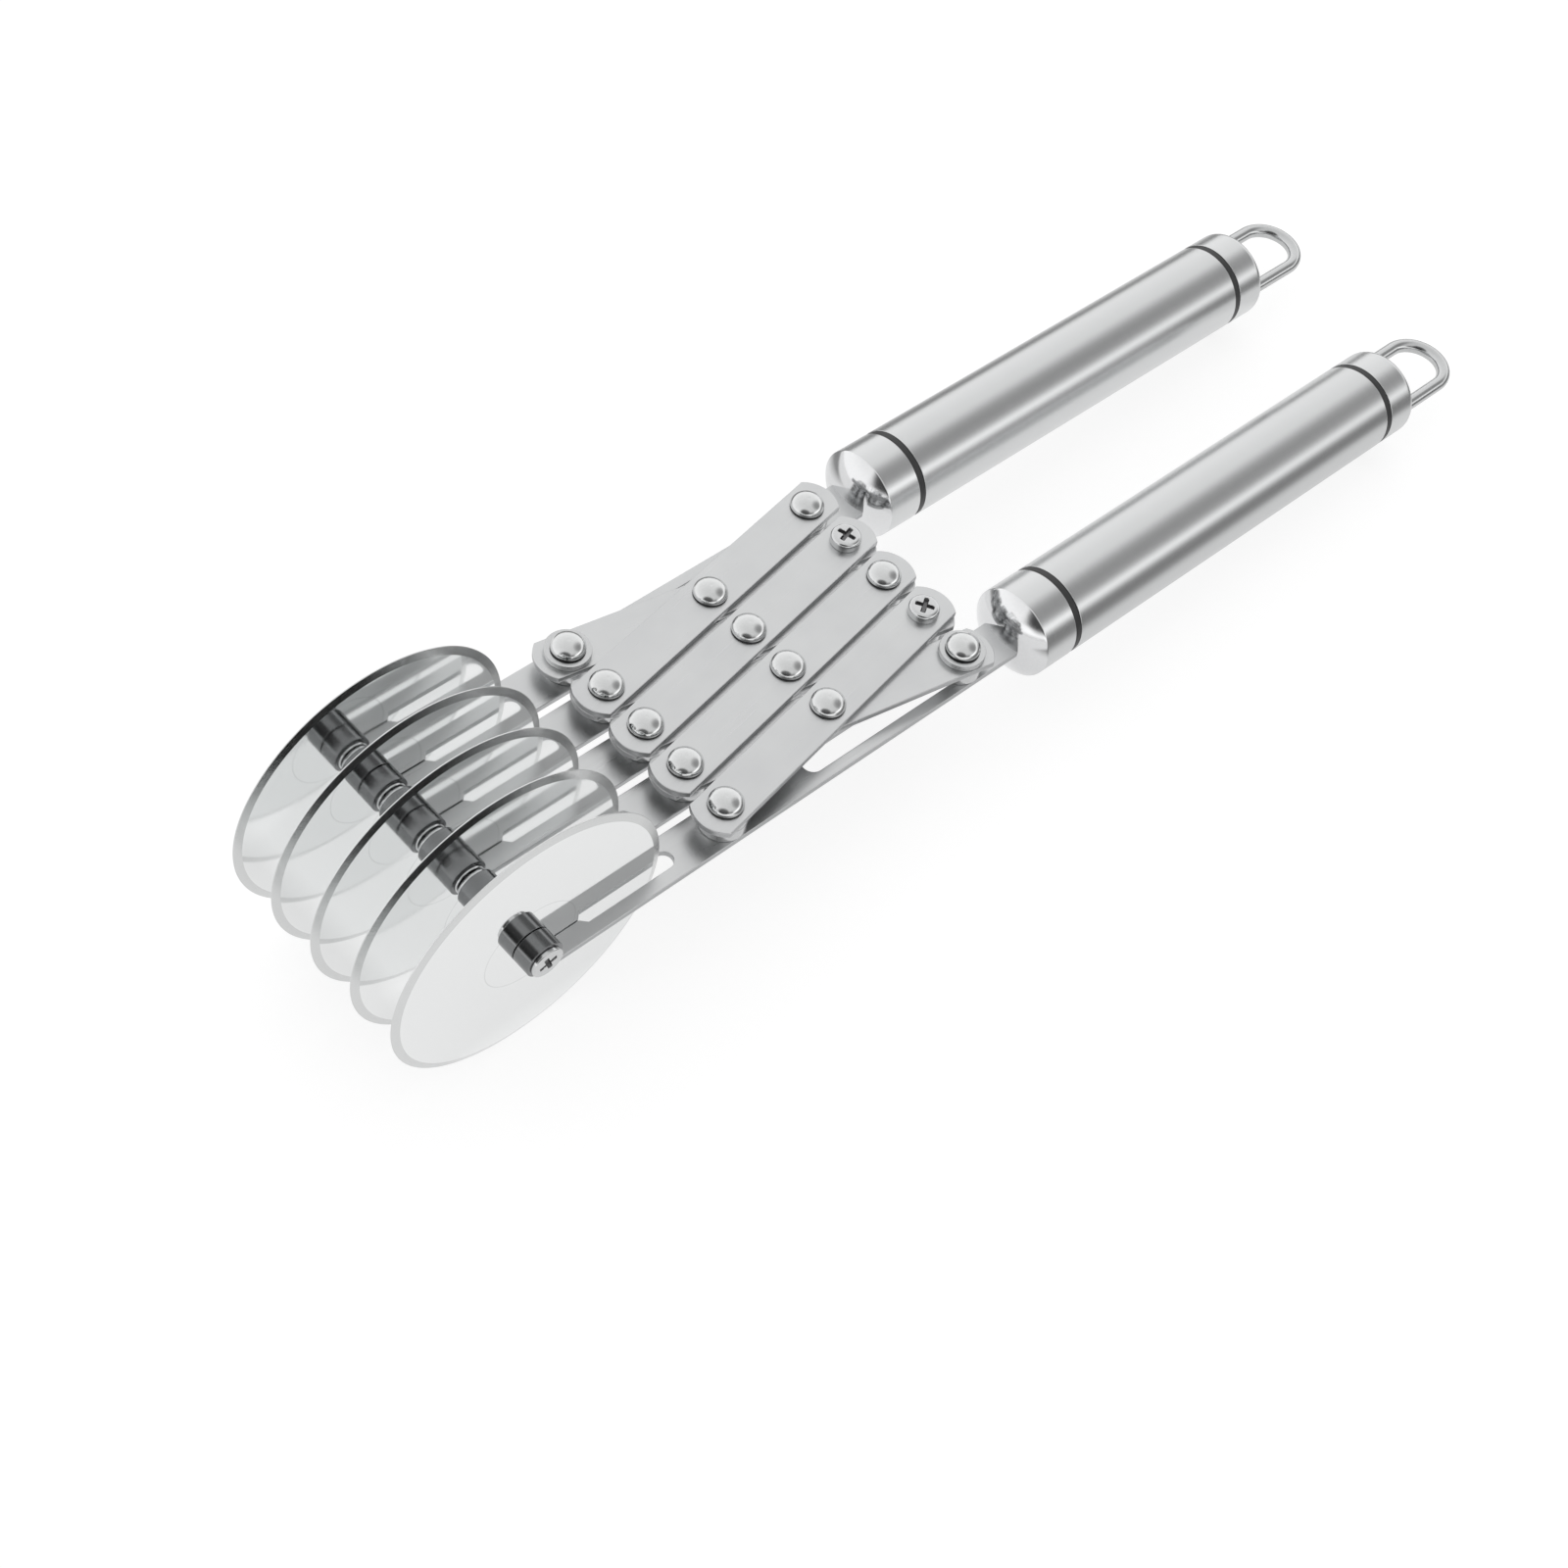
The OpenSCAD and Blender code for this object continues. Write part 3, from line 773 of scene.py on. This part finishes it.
def arm_runs(k, fan=3.5, past=2.5):
    """The stations of half an arm from the roll's end to its tail or tang.

    Round a hole the outer stations spread over fan to both sides, and behind a slot over past.
    """
    w, slit = ARM_W / 2, SLIT_W / 2
    start, stop = REAR_SLOT
    before, after, behind_slot = FRONT_X - fan, FRONT_X + fan, SLOT_END + 2
    runs = [
        (straight(slit, ROLL_END, 0, 62), straight(w, ROLL_END, 0, 62), True),
        (straight(slit, 0, SLIT_END, 3), straight(w, 0, SLIT_END, 3), True),
        (
            np.linspace((SLIT_END, slit), (SLOT_START, SLOT_R), 2),
            straight(w, SLIT_END, SLOT_START, 2),
            True,
        ),
        (straight(SLOT_R, SLOT_START, SLOT_ROUND, 4), straight(w, SLOT_START, SLOT_ROUND, 4), True),
        (arc(SLOT_ROUND, SLOT_R, 90, 0, 12), straight(w, SLOT_ROUND, behind_slot, 12), True),
        (straight(0, SLOT_END, FRONT_X - HOLE_R, 3), straight(w, behind_slot, before, 3), False),
        (arc(FRONT_X, HOLE_R, 180, 0, 24), straight(w, before, after, 24), True),
        (straight(0, FRONT_X + HOLE_R, start - HOLE_R, 4), straight(w, after, start - fan, 4), False),
        (arc(start, HOLE_R, 180, 90, 12), straight(w, start - fan, start, 12), True),
        (straight(HOLE_R, start, stop, 6), straight(w, start, stop, 6), True),
        (arc(stop, HOLE_R, 90, 0, 12), straight(w, stop, stop + past, 12), True),
    ]
    if k in (1, 5):
        tip = CAP_X + TANG
        far = np.concatenate([straight(w, stop + past, tip, 3), [[tip, w / 2], [tip, 0]]])
        runs.append((straight(0, stop + HOLE_R, tip, 5), far, False))
    else:
        corner = np.degrees(np.arcsin(w / ARM_TAIL))
        far = np.concatenate([[[stop + past, w]], arc(REAR_X, ARM_TAIL, corner, 0, 12)])
        runs.append((straight(0, stop + HOLE_R, REAR_X + ARM_TAIL, 13), far, False))
    return runs


def arm_shape(k, steps=3):
    """Both halves of arm k, rolled at the front and set beside the other arms."""
    points, faces, sheared = half_plate(*stations(*arm_runs(k)), ARM_T, EDGE, steps)
    marks = np.where(points[faces, 0].mean(1) < 0, 2, sheared)
    points, faces = both_halves(points, faces, capped=4 * (steps + 1))
    return (rolled(points) + [0, row_y(k), 0], faces), np.tile(np.append(marks, 2), 2)


# faces of the roll, marked 2, get the knuckle's painted shade
finishes = [arm_finish, sheared_finish, knuckle_painted_shade]
for k in range(1, 6):
    shape, marks = arm_shape(k)
    arm = piece(f"arm_{k}", "rolled", shape, finishes, split=marks)
    print(arm.name, "has", len(arm.data.polygons), "faces")

# %% [markdown]
# ## The links
#
# Four lower and four upper links cross each other like a lazy tongs. Each is a
# strip whose ends are cut round about its pivots, with a hole at both ends and
# in the middle. Upper and lower links differ only in where they lie and lean.


# %% Links
def link_blank():
    """A link along s with its first pivot at 0, lying on height 0."""
    w, far, middle = LINK_W / 2, LINK_PITCH, LINK_PITCH / 2
    corner = np.sqrt(LINK_END_R**2 - w**2)
    lean = np.degrees(np.arcsin(w / LINK_END_R))
    half = stations(
        (straight(0, -LINK_END_R, -HOLE_R, 10), arc(0, LINK_END_R, 180, 180 - lean, 10), False),
        (arc(0, HOLE_R, 180, 0, 24), straight(w, -corner, corner, 24), True),
        (straight(0, HOLE_R, middle - HOLE_R, 4), straight(w, corner, middle - corner, 4), False),
        (arc(middle, HOLE_R, 180, 0, 24), straight(w, middle - corner, middle + corner, 24), True),
        (
            straight(0, middle + HOLE_R, far - HOLE_R, 4),
            straight(w, middle + corner, far - corner, 4),
            False,
        ),
        (arc(far, HOLE_R, 180, 0, 24), straight(w, far - corner, far + corner, 24), True),
        (straight(0, far + HOLE_R, far + LINK_END_R, 10), arc(far, LINK_END_R, lean, 0, 10), False),
    )
    points, faces, sheared = half_plate(*half, LINK_T, EDGE)
    return *both_halves(points + [0, 0, LINK_T / 2], faces), np.tile(sheared, 2)


blank, faces, sheared = link_blank()


def laid_link(k, lean, bottom):
    """The blank turned by lean about its pivot on front rivet k, its underside at bottom."""
    s, y, height = blank.T
    x = FRONT_X + s * np.cos(lean) - y * np.sin(lean)
    y = row_y(k) + s * np.sin(lean) + y * np.cos(lean)
    return np.stack([x, y, bottom + height], -1), faces


for k in range(1, 5):
    for name, first, lean, bottom, finish in (
        ("lower", k, -LEAN, LOWER_Z, lower_finish),
        ("upper", k + 1, LEAN, UPPER_Z, upper_finish),
    ):
        shape, finishes = laid_link(first, lean, bottom), [finish, sheared_finish]
        piece(f"{name}_link_{k}", "brushed", shape, finishes, split=sheared)
print("links: 8, faces each", len(faces))

# %% [markdown]
# ## Rivets, rear pins and spacers
#
# Three rows of fasteners hold the scissor. Each is one turned section from the
# pole of its head to the middle of its closed end. Spacers lift the links over
# the wheels' arms, and thin washers stand in where an outer stack has one link
# fewer.


# %% Rivets and screws of the linkage
FRONT_LOW, MIDDLE_LOW = PLATE_LOW - SLIDE_GAP, LOWER_Z - SLIDE_GAP
MIDDLE_X = (FRONT_X + REAR_X) / 2
DIMPLE_DEPTH, DIMPLE_R, UNDERCUT = 0.05, 0.28, 0.2


def below_head(radius, low):
    """Section under a head: in to the shank, down it, and round the closed end."""
    end = low - TAIL_H
    shank = rounded((radius, HEAD_Z, 0), (PIN_R, HEAD_Z, 0), (PIN_R, low, 0))
    tail = rounded((PIN_R, low, 0), (TAIL_R, low, 0.1), (TAIL_R, end, 0.35), (0, end, 0))
    return np.concatenate([shank, tail])


def domed_rivet(x, y, low):
    """A rivet at (x, y): at angle a its dome has radius HEAD_R sin a and height rise cos a.

    The pole keeps the small dimple of the riveting tool, DIMPLE_DEPTH e^-(r / DIMPLE_R)^2 deep.
    """
    a = np.radians(np.linspace(0, 90, 34))
    rim_top = HEAD_Z + HEAD_RIM * 0.6
    head = np.stack([HEAD_R * np.sin(a), rim_top + (HEAD_Z + HEAD_H - rim_top) * np.cos(a)], -1)
    head[:, 1] -= DIMPLE_DEPTH * np.exp(-((head[:, 0] / DIMPLE_R) ** 2))
    under_r = HEAD_R - UNDERCUT
    rim = rounded((*head[-1], 0), (HEAD_R, HEAD_Z, 0.08), (under_r, HEAD_Z, 0))
    section = np.concatenate([head, rim[1:], below_head(under_r, low)])
    middle = (section[1:, 1] + section[:-1, 1]) / 2
    points, faces = turned(section, 96)
    # faces below the rim's top, the wall under the dome and what lies beneath, get the painted shade
    return (points + [x, y, 0], faces), np.tile(middle < rim_top, 96)


def cross_screw(x, y, low, turn):
    """A pan-head screw with a cross recess standing at (x, y)."""
    top, under_r = HEAD_Z + SCREW_H, SCREW_R - UNDERCUT
    pan = rounded(
        (0, top, 0), (SCREW_R, top, 0.95), (SCREW_R, HEAD_Z, 0.12), (under_r, HEAD_Z, 0), steps=8
    )
    section = np.concatenate([filled(pan[:4], FINE), pan[4:], below_head(under_r, low)])
    points, faces = turned(section, 120)
    points, inside = sunk_cross(points, faces, top - 0.1, depth=SCREW_H * 0.35, turn=turn)
    return (points + [x, y, 0], faces), inside


# the second finish is the painted shade under the head
domed_finishes = [rivet_finish, head_painted_shade]
for k in range(1, 6):
    front, shaded_wall = domed_rivet(FRONT_X, row_y(k), FRONT_LOW)
    piece(f"front_rivet_{k}", "domed", front, domed_finishes, split=shaded_wall)
    if k in (2, 4):
        rear, inside = cross_screw(REAR_X, row_y(k), FRONT_LOW, np.radians(8 * k))
        piece(f"rear_pin_{k}", "screwed", rear, screw_finishes, split=inside)
    else:
        rear, shaded_wall = domed_rivet(REAR_X, row_y(k), FRONT_LOW)
        piece(f"rear_pin_{k}", "domed", rear, domed_finishes, split=shaded_wall)
for k in range(1, 5):
    middle, shaded_wall = domed_rivet(MIDDLE_X, (row_y(k) + row_y(k + 1)) / 2, MIDDLE_LOW)
    piece(f"middle_rivet_{k}", "domed", middle, domed_finishes, split=shaded_wall)
print("fasteners in the linkage: 14")


# %% Spacers and washers
def washer(x, y, bottom, height, edge):
    """A ring with rounded outer edges, its section closed on itself."""
    top = bottom + height
    outer = (WASHER_R, bottom, edge), (WASHER_R, top, edge)
    points, faces = turned(rounded((HOLE_R, bottom, 0), *outer, (HOLE_R, top, 0)), 72, closed=True)
    return points + [x, y, 0], faces


def spacer_stack(x, k, missing_upper, missing_lower):
    """The spacer on an arm, with what fills the place of a missing link."""
    y, each = row_y(k), LINK_T / WASHERS
    rings = [washer(x, y, SPACER_Z, SPACER_H, 0.2)]
    if k == missing_upper:
        levels = [UPPER_Z + i * each for i in range(WASHERS)]
        rings += [washer(x, y, level, each - SLIDE_GAP, 0.14) for level in levels]
    if k == missing_lower:
        rings.append(washer(x, y, LOWER_Z, LINK_T, 0.2))
    return together(*rings)


for k in range(1, 6):
    for row, x, no_upper, no_lower in (("front", FRONT_X, 1, 5), ("rear", REAR_X, 5, 1)):
        stack = spacer_stack(x, k, no_upper, no_lower)
        piece(f"{row}_spacer_{k}", "turned", stack, [washer_finish])
print("spacer stacks: 10")

# %% [markdown]
# ## The handles
#
# Each outer arm ends in a tube handle: a polished domed cap that takes the
# arm's tang, a black ring, the satin tube, another black ring, a rear cap with
# a rounded edge, and a loop of wire to hang it by. All but the loop are turned
# about the handle's axis.


# %% Handle pieces
END_ROUND, CROWN = 0.12, 0.25  # roundings of the tube's and caps' ends, and of the rings
LEG_IN_CAP, WIRE_STEPS = 3, 28


def on_handle(k, shape):
    """Lays a shape turned about Z along handle k: its height becomes X."""
    points, faces = shape
    x, y, z = points.T
    return np.stack([z, row_y(k) + y, PLATE_MID + x], -1), faces


def dome_line(radius, rise, steps):
    """(radius, height) from the pole of a ball's cap of that rise down to its rim at height 0.

    The ball's radius is b = (radius^2 + rise^2) / (2 rise). At angle a a point has the radius
    b sin a and the height rise - b (1 - cos a).
    """
    ball = (radius**2 + rise**2) / (2 * rise)
    a = np.linspace(0, np.arcsin(radius / ball), steps)
    return np.stack([ball * np.sin(a), rise - ball * (1 - np.cos(a))], -1)


def front_cap(k):
    """Domed face, filleted rim and band; the faces of the band are marked for the satin finish."""
    face = dome_line(HANDLE_R, DOME, 26)[:-1] * [1, -1] + [0, RIM_X]
    corner = rounded(
        (*face[-1], 0), (HANDLE_R, RIM_X, 0.18), (HANDLE_R, RING_1_X, END_ROUND), (0, RING_1_X, 0)
    )
    section = np.concatenate([face, corner[1:]])
    middle = (section[1:, 1] + section[:-1, 1]) / 2
    points, faces = turned(section, 192)
    return on_handle(k, (points, faces)), np.tile(middle > RIM_X + 0.1, 192)


def tube(k):
    """A tube with slightly rounded ends, its section closed on itself."""
    inner = HANDLE_R - TUBE_WALL
    outer = (HANDLE_R, TUBE_X, END_ROUND), (HANDLE_R, RING_2_X, END_ROUND)
    section = rounded((inner, TUBE_X, 0), *outer, (inner, RING_2_X, 0))
    return on_handle(k, turned(section, 192, closed=True))


def rings(k):
    """The two black rings, slightly crowned between tube and caps."""
    inner, outer = HANDLE_R - TUBE_WALL, HANDLE_R - RING_STEP
    made = []
    for x in (RING_1_X, RING_2_X):
        stop = x + RING_W
        section = rounded((inner, x, 0), (outer, x, CROWN), (outer, stop, CROWN), (inner, stop, 0))
        made.append(turned(section, 128, closed=True))
    return on_handle(k, together(*made))


def rear_cap(k):
    """Band, rounded edge and flat end."""
    section = rounded(
        (0, REAR_CAP_X, 0),
        (HANDLE_R, REAR_CAP_X, END_ROUND),
        (HANDLE_R, END_X, REAR_ROUND),
        (0, END_X, 0),
        steps=8,
    )
    return on_handle(k, turned(section, 192))


def loop(k):
    """A circle of radius WIRE_R carried along two legs and the half circle between them.

    A point is the path's point + WIRE_R (cos a sideways + sin a up).
    """
    half = LOOP_W / 2
    a = np.radians(np.linspace(-90, 90, 41))
    bend = np.stack([BEND_X + half * np.cos(a), half * np.sin(a)], -1)
    side_way = np.stack([np.cos(a), np.sin(a)], -1)
    leg_x = END_X - LEG_IN_CAP
    path = np.concatenate([[[leg_x, -half]], bend, [[leg_x, half]]])
    sideways = np.concatenate([side_way[:1], side_way, side_way[-1:]])
    around = np.linspace(0, 2 * np.pi, WIRE_STEPS, endpoint=False)
    xy = path[:, None] + WIRE_R * np.cos(around)[None, :, None] * sideways[:, None]
    z = np.broadcast_to(PLATE_MID + WIRE_R * np.sin(around), xy.shape[:2])
    points = np.concatenate([xy, z[..., None]], -1).reshape(-1, 3) + [0, row_y(k), 0]
    faces = grid(len(path), WIRE_STEPS, False, True).tolist()
    first, last = range(WIRE_STEPS), range(len(points) - WIRE_STEPS, len(points))
    return points, [*faces, list(first), list(last)]


for k in (1, 5):
    cap, on_band = front_cap(k)
    handle, finishes = f"handle_{k}", [dome_finish, cap_finish]
    piece(f"{handle}_front_cap", "polished", cap, finishes, split=on_band)
    piece(f"{handle}_tube", "satin", tube(k), [tube_finish])
    piece(f"{handle}_rings", "moulded", rings(k), [ring_finish])
    piece(f"{handle}_rear_cap", "satin", rear_cap(k), [cap_finish])
    piece(f"{handle}_loop", "drawn", loop(k), [wire_finish])
shown = [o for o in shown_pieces() if "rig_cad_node" not in o]
print("pieces:", len(shown), "faces:", sum(len(o.data.polygons) for o in shown))

# %% [markdown]
# ## Studio
#
# The photograph is a product shot on white: pale paper, and a room that is
# mostly bright soft boxes. No lamp is used, since a lamp's square would show in
# every dome. The room itself gives the light: even at the back, and in front a
# bright low band over a darker foot, which draws the streaks on the handles.
# Two soft dark places stand for the way between the boxes and for the camera's
# side. The paper is white to the camera and keeps the cutter's soft shadow; in
# mirrors it shows a painted glow, bright round the cutter and darker with the distance from it.


# %% Floor
FLOOR_HALF = 1.5  # metres
CUTTER_HALF = (0.12, 0.02, 0)  # metres: about the closed cutter's half length and half width
FADE_REACH = 0.1  # metres beyond it that PAPER_PAINTED_GLOW spans
GLOW_FRONT = (-0.05, 0.0)  # metres along X: before it the painted glow stays bright to both sides
GLOW_SHARE = 0.25  # the fade goes no further than this there
PAPER_GLOW, PAPER_TONE = 0.8, "#959595"
# painted light: the glow that mirrors see on the paper, bright round the cutter and darker further off
PAPER_PAINTED_GLOW = {
    0.0: "#ffffff", 0.05: "#ededed", 0.3: "#ededed", 0.4: "#c4c4c4", 0.55: "#646464",
    1.0: "#202020",
}


def banded(ramp, marks):
    """The colour of a Color Ramp node, after its bands are set to marks {position: sRGB hex}."""
    bands = ramp.color_ramp.elements
    while len(bands) < len(marks):
        bands.new(0.5)
    for band, (place, code) in zip(bands, marks.items()):
        band.position, band.color = place, paint(code)
    return ramp.outputs["Color"]


def floor_finish():
    """Matt white paper with a painted glow: part of its light to the camera and to mirrors is its own
    emission.

    Mirrors see a painted pool of light round the cutter, dimmer with the distance from it.
    """
    material, tree = begin("white_studio_paper")
    ray = add(tree, "ShaderNodeLightPath")
    spot = place = add(tree, "ShaderNodeTexCoord").outputs["Object"]
    for operation, by in (("ABSOLUTE", {}), ("SUBTRACT", {1: CUTTER_HALF}), ("MAXIMUM", {1: (0, 0, 0)})):
        place = add(tree, "ShaderNodeVectorMath", {0: place, **by}, operation=operation).outputs[0]
    away = add(tree, "ShaderNodeVectorMath", {0: place}, operation="LENGTH").outputs["Value"]
    share = add(tree, "ShaderNodeMath", {0: away, 1: FADE_REACH}, operation="DIVIDE").outputs[0]
    along = add(tree, "ShaderNodeSeparateXYZ", {"Vector": spot}).outputs["X"]
    glow_start, faded = GLOW_FRONT
    most = add(
        tree,
        "ShaderNodeMapRange",
        {"Value": along, "From Min": glow_start, "From Max": faded, "To Min": GLOW_SHARE, "To Max": 1},
    ).outputs[0]
    share = add(tree, "ShaderNodeMath", {0: share, 1: most}, operation="MINIMUM").outputs[0]
    # colour of the painted glow, by distance from the cutter
    fade = banded(add(tree, "ShaderNodeValToRGB", {"Fac": share}), PAPER_PAINTED_GLOW)
    own = add(
        tree,
        "ShaderNodeMix",
        {0: ray.outputs["Is Camera Ray"], 6: fade, 7: paint("#ffffff")},
        data_type="RGBA",
    ).outputs[2]
    seen = add(
        tree,
        "ShaderNodeMath",
        {0: ray.outputs["Is Camera Ray"], 1: ray.outputs["Is Glossy Ray"]},
        operation="MAXIMUM",
    ).outputs[0]
    strength = add(
        tree, "ShaderNodeMath", {0: seen, 1: PAPER_GLOW}, operation="MULTIPLY"
    ).outputs[0]
    glow = add(tree, "ShaderNodeEmission", {"Color": own, "Strength": strength})
    paper = add(tree, "ShaderNodeBsdfDiffuse", {"Color": paint(PAPER_TONE)})
    both = add(tree, "ShaderNodeAddShader", {0: glow.outputs[0], 1: paper.outputs[0]})
    add(tree, "ShaderNodeOutputMaterial", {"Surface": both.outputs[0]})
    return material


floor_mesh = bpy.data.meshes.new("studio_floor")
corners = np.array([[-1, -1, 0], [1, -1, 0], [1, 1, 0], [-1, 1, 0]]) * FLOOR_HALF
floor_mesh.from_pydata(corners.tolist(), [], [[0, 1, 2, 3]])
floor_mesh.materials.append(floor_finish())
floor = bpy.data.objects.new("studio_floor", floor_mesh)
bpy.context.scene.collection.objects.link(floor)
print("floor:", floor.dimensions[:])

# %% Room light
ROOM_LEVEL = 1.7
FRONT_MARKS = {
    0.0: "#5f5f5f", 0.08: "#646464", 0.2: "#b8b8b8", 0.29: "#ffffff", 0.38: "#ffffff",
    0.48: "#bcbcbc", 0.58: "#b2b2b2", 1.0: "#bababa",
}
NEAR_MARKS = {
    0.0: "#b0b0b0", 0.1: "#e8e8e8", 0.22: "#e8e8e8", 0.32: "#7c7c7c", 0.52: "#7a7a7a",
    0.66: "#b0b0b0", 0.75: "#bababa",
}
BACK_MARKS = {0.0: "#dbdbdb", 0.3: "#d8d8d8", 0.55: "#cfcfcf", 0.74: "#cacaca", 1.0: "#bebebe"}
# A dark place has a direction, the cosines at which it begins and is full, and how dark it gets.
DARK_GAP = ((0.7, -0.33, 0.64), 0.86, 1.0, 0.56)  # the unlit way between the boxes, over the handles
DARK_STAND = ((-0.64, -0.48, 0.6), 0.84, 0.95, 0.85)  # the unlit side on which the camera stands
DARK_TONE = "#202020"

world = bpy.data.worlds.new("studio_room")
bpy.context.scene.world = world
world.use_nodes = True
room = world.node_tree
room.nodes.clear()
way = add(room, "ShaderNodeTexCoord").outputs["Generated"]
part = add(room, "ShaderNodeSeparateXYZ", {"Vector": way})


def passing(value, low, high, share, before, after):
    """The colour before where value is low, passing smoothly to a share of after where it is high."""
    weight = add(
        room,
        "ShaderNodeMapRange",
        {"Value": value, "From Min": low, "From Max": high, "To Min": 0, "To Max": share},
        interpolation_type="SMOOTHSTEP",
    ).outputs[0]
    return add(room, "ShaderNodeMix", {0: weight, 6: before, 7: after}, data_type="RGBA").outputs[2]


front, beside, behind = (
    banded(add(room, "ShaderNodeValToRGB", {"Fac": part.outputs["Z"]}), marks)
    for marks in (FRONT_MARKS, NEAR_MARKS, BACK_MARKS)
)
front = passing(part.outputs["X"], 0.25, -0.1, 1, front, beside)
tone = passing(part.outputs["Y"], 0.1, -0.3, 1, behind, front)
for centre, edge, core, dim in (DARK_GAP, DARK_STAND):
    near = add(
        room, "ShaderNodeVectorMath", {0: way, 1: centre}, operation="DOT_PRODUCT"
    ).outputs["Value"]
    tone = passing(near, edge, core, dim, tone, paint(DARK_TONE))
glow = add(room, "ShaderNodeBackground", {"Color": tone, "Strength": ROOM_LEVEL})
backdrop = add(room, "ShaderNodeBackground", {"Color": paint("#ffffff"), "Strength": 1})
ray = add(room, "ShaderNodeLightPath")
sight = add(
    room,
    "ShaderNodeMixShader",
    {0: ray.outputs["Is Camera Ray"], 1: glow.outputs[0], 2: backdrop.outputs[0]},
)
add(room, "ShaderNodeOutputWorld", {"Surface": sight.outputs[0]})
print("room:", len(room.nodes), "nodes")

# %% [markdown]
# ## Camera
#
# The camera stands where the photograph was taken from: in front of wheel 5, a
# little to the left, looking down at about fifty degrees. Its place and axes
# were fitted to the rivets, the axle ends and the handles' rings.

# %% Camera
EYE = np.array([-162.88, -183.39, 357.82])
RIGHT = np.array([0.72889, -0.66919, 0.14455])
DOWN = np.array([-0.48145, -0.65113, -0.58671])
FOCAL_PIXELS, IMAGE_PIXELS, SENSOR = 2644.1, 1600, 36.0


def level_way(way):
    """A direction of the level frame in the row frame."""
    x, y, z = way
    return np.array(
        [x * np.cos(PITCH) + z * np.sin(PITCH), y, -x * np.sin(PITCH) + z * np.cos(PITCH)]
    )


right, down = level_way(RIGHT), level_way(DOWN)
back = np.cross(right, -down)
camera_data = bpy.data.cameras.new("photo_camera")
camera_data.sensor_width = SENSOR
camera_data.lens = FOCAL_PIXELS / IMAGE_PIXELS * SENSOR
camera_data.clip_start, camera_data.clip_end = 0.01, 20
camera = bpy.data.objects.new("photo_camera", camera_data)
bpy.context.scene.collection.objects.link(camera)
turn = Matrix(np.stack([right, -down, back], -1).tolist()).to_4x4()
camera.matrix_world = Matrix.Translation(on_table([EYE])[0]) @ turn
bpy.context.scene.camera = camera
bpy.context.scene.view_settings.view_transform = "Standard"
print("lens", round(camera_data.lens, 2), "mm, eye", on_table([EYE])[0].round(4))
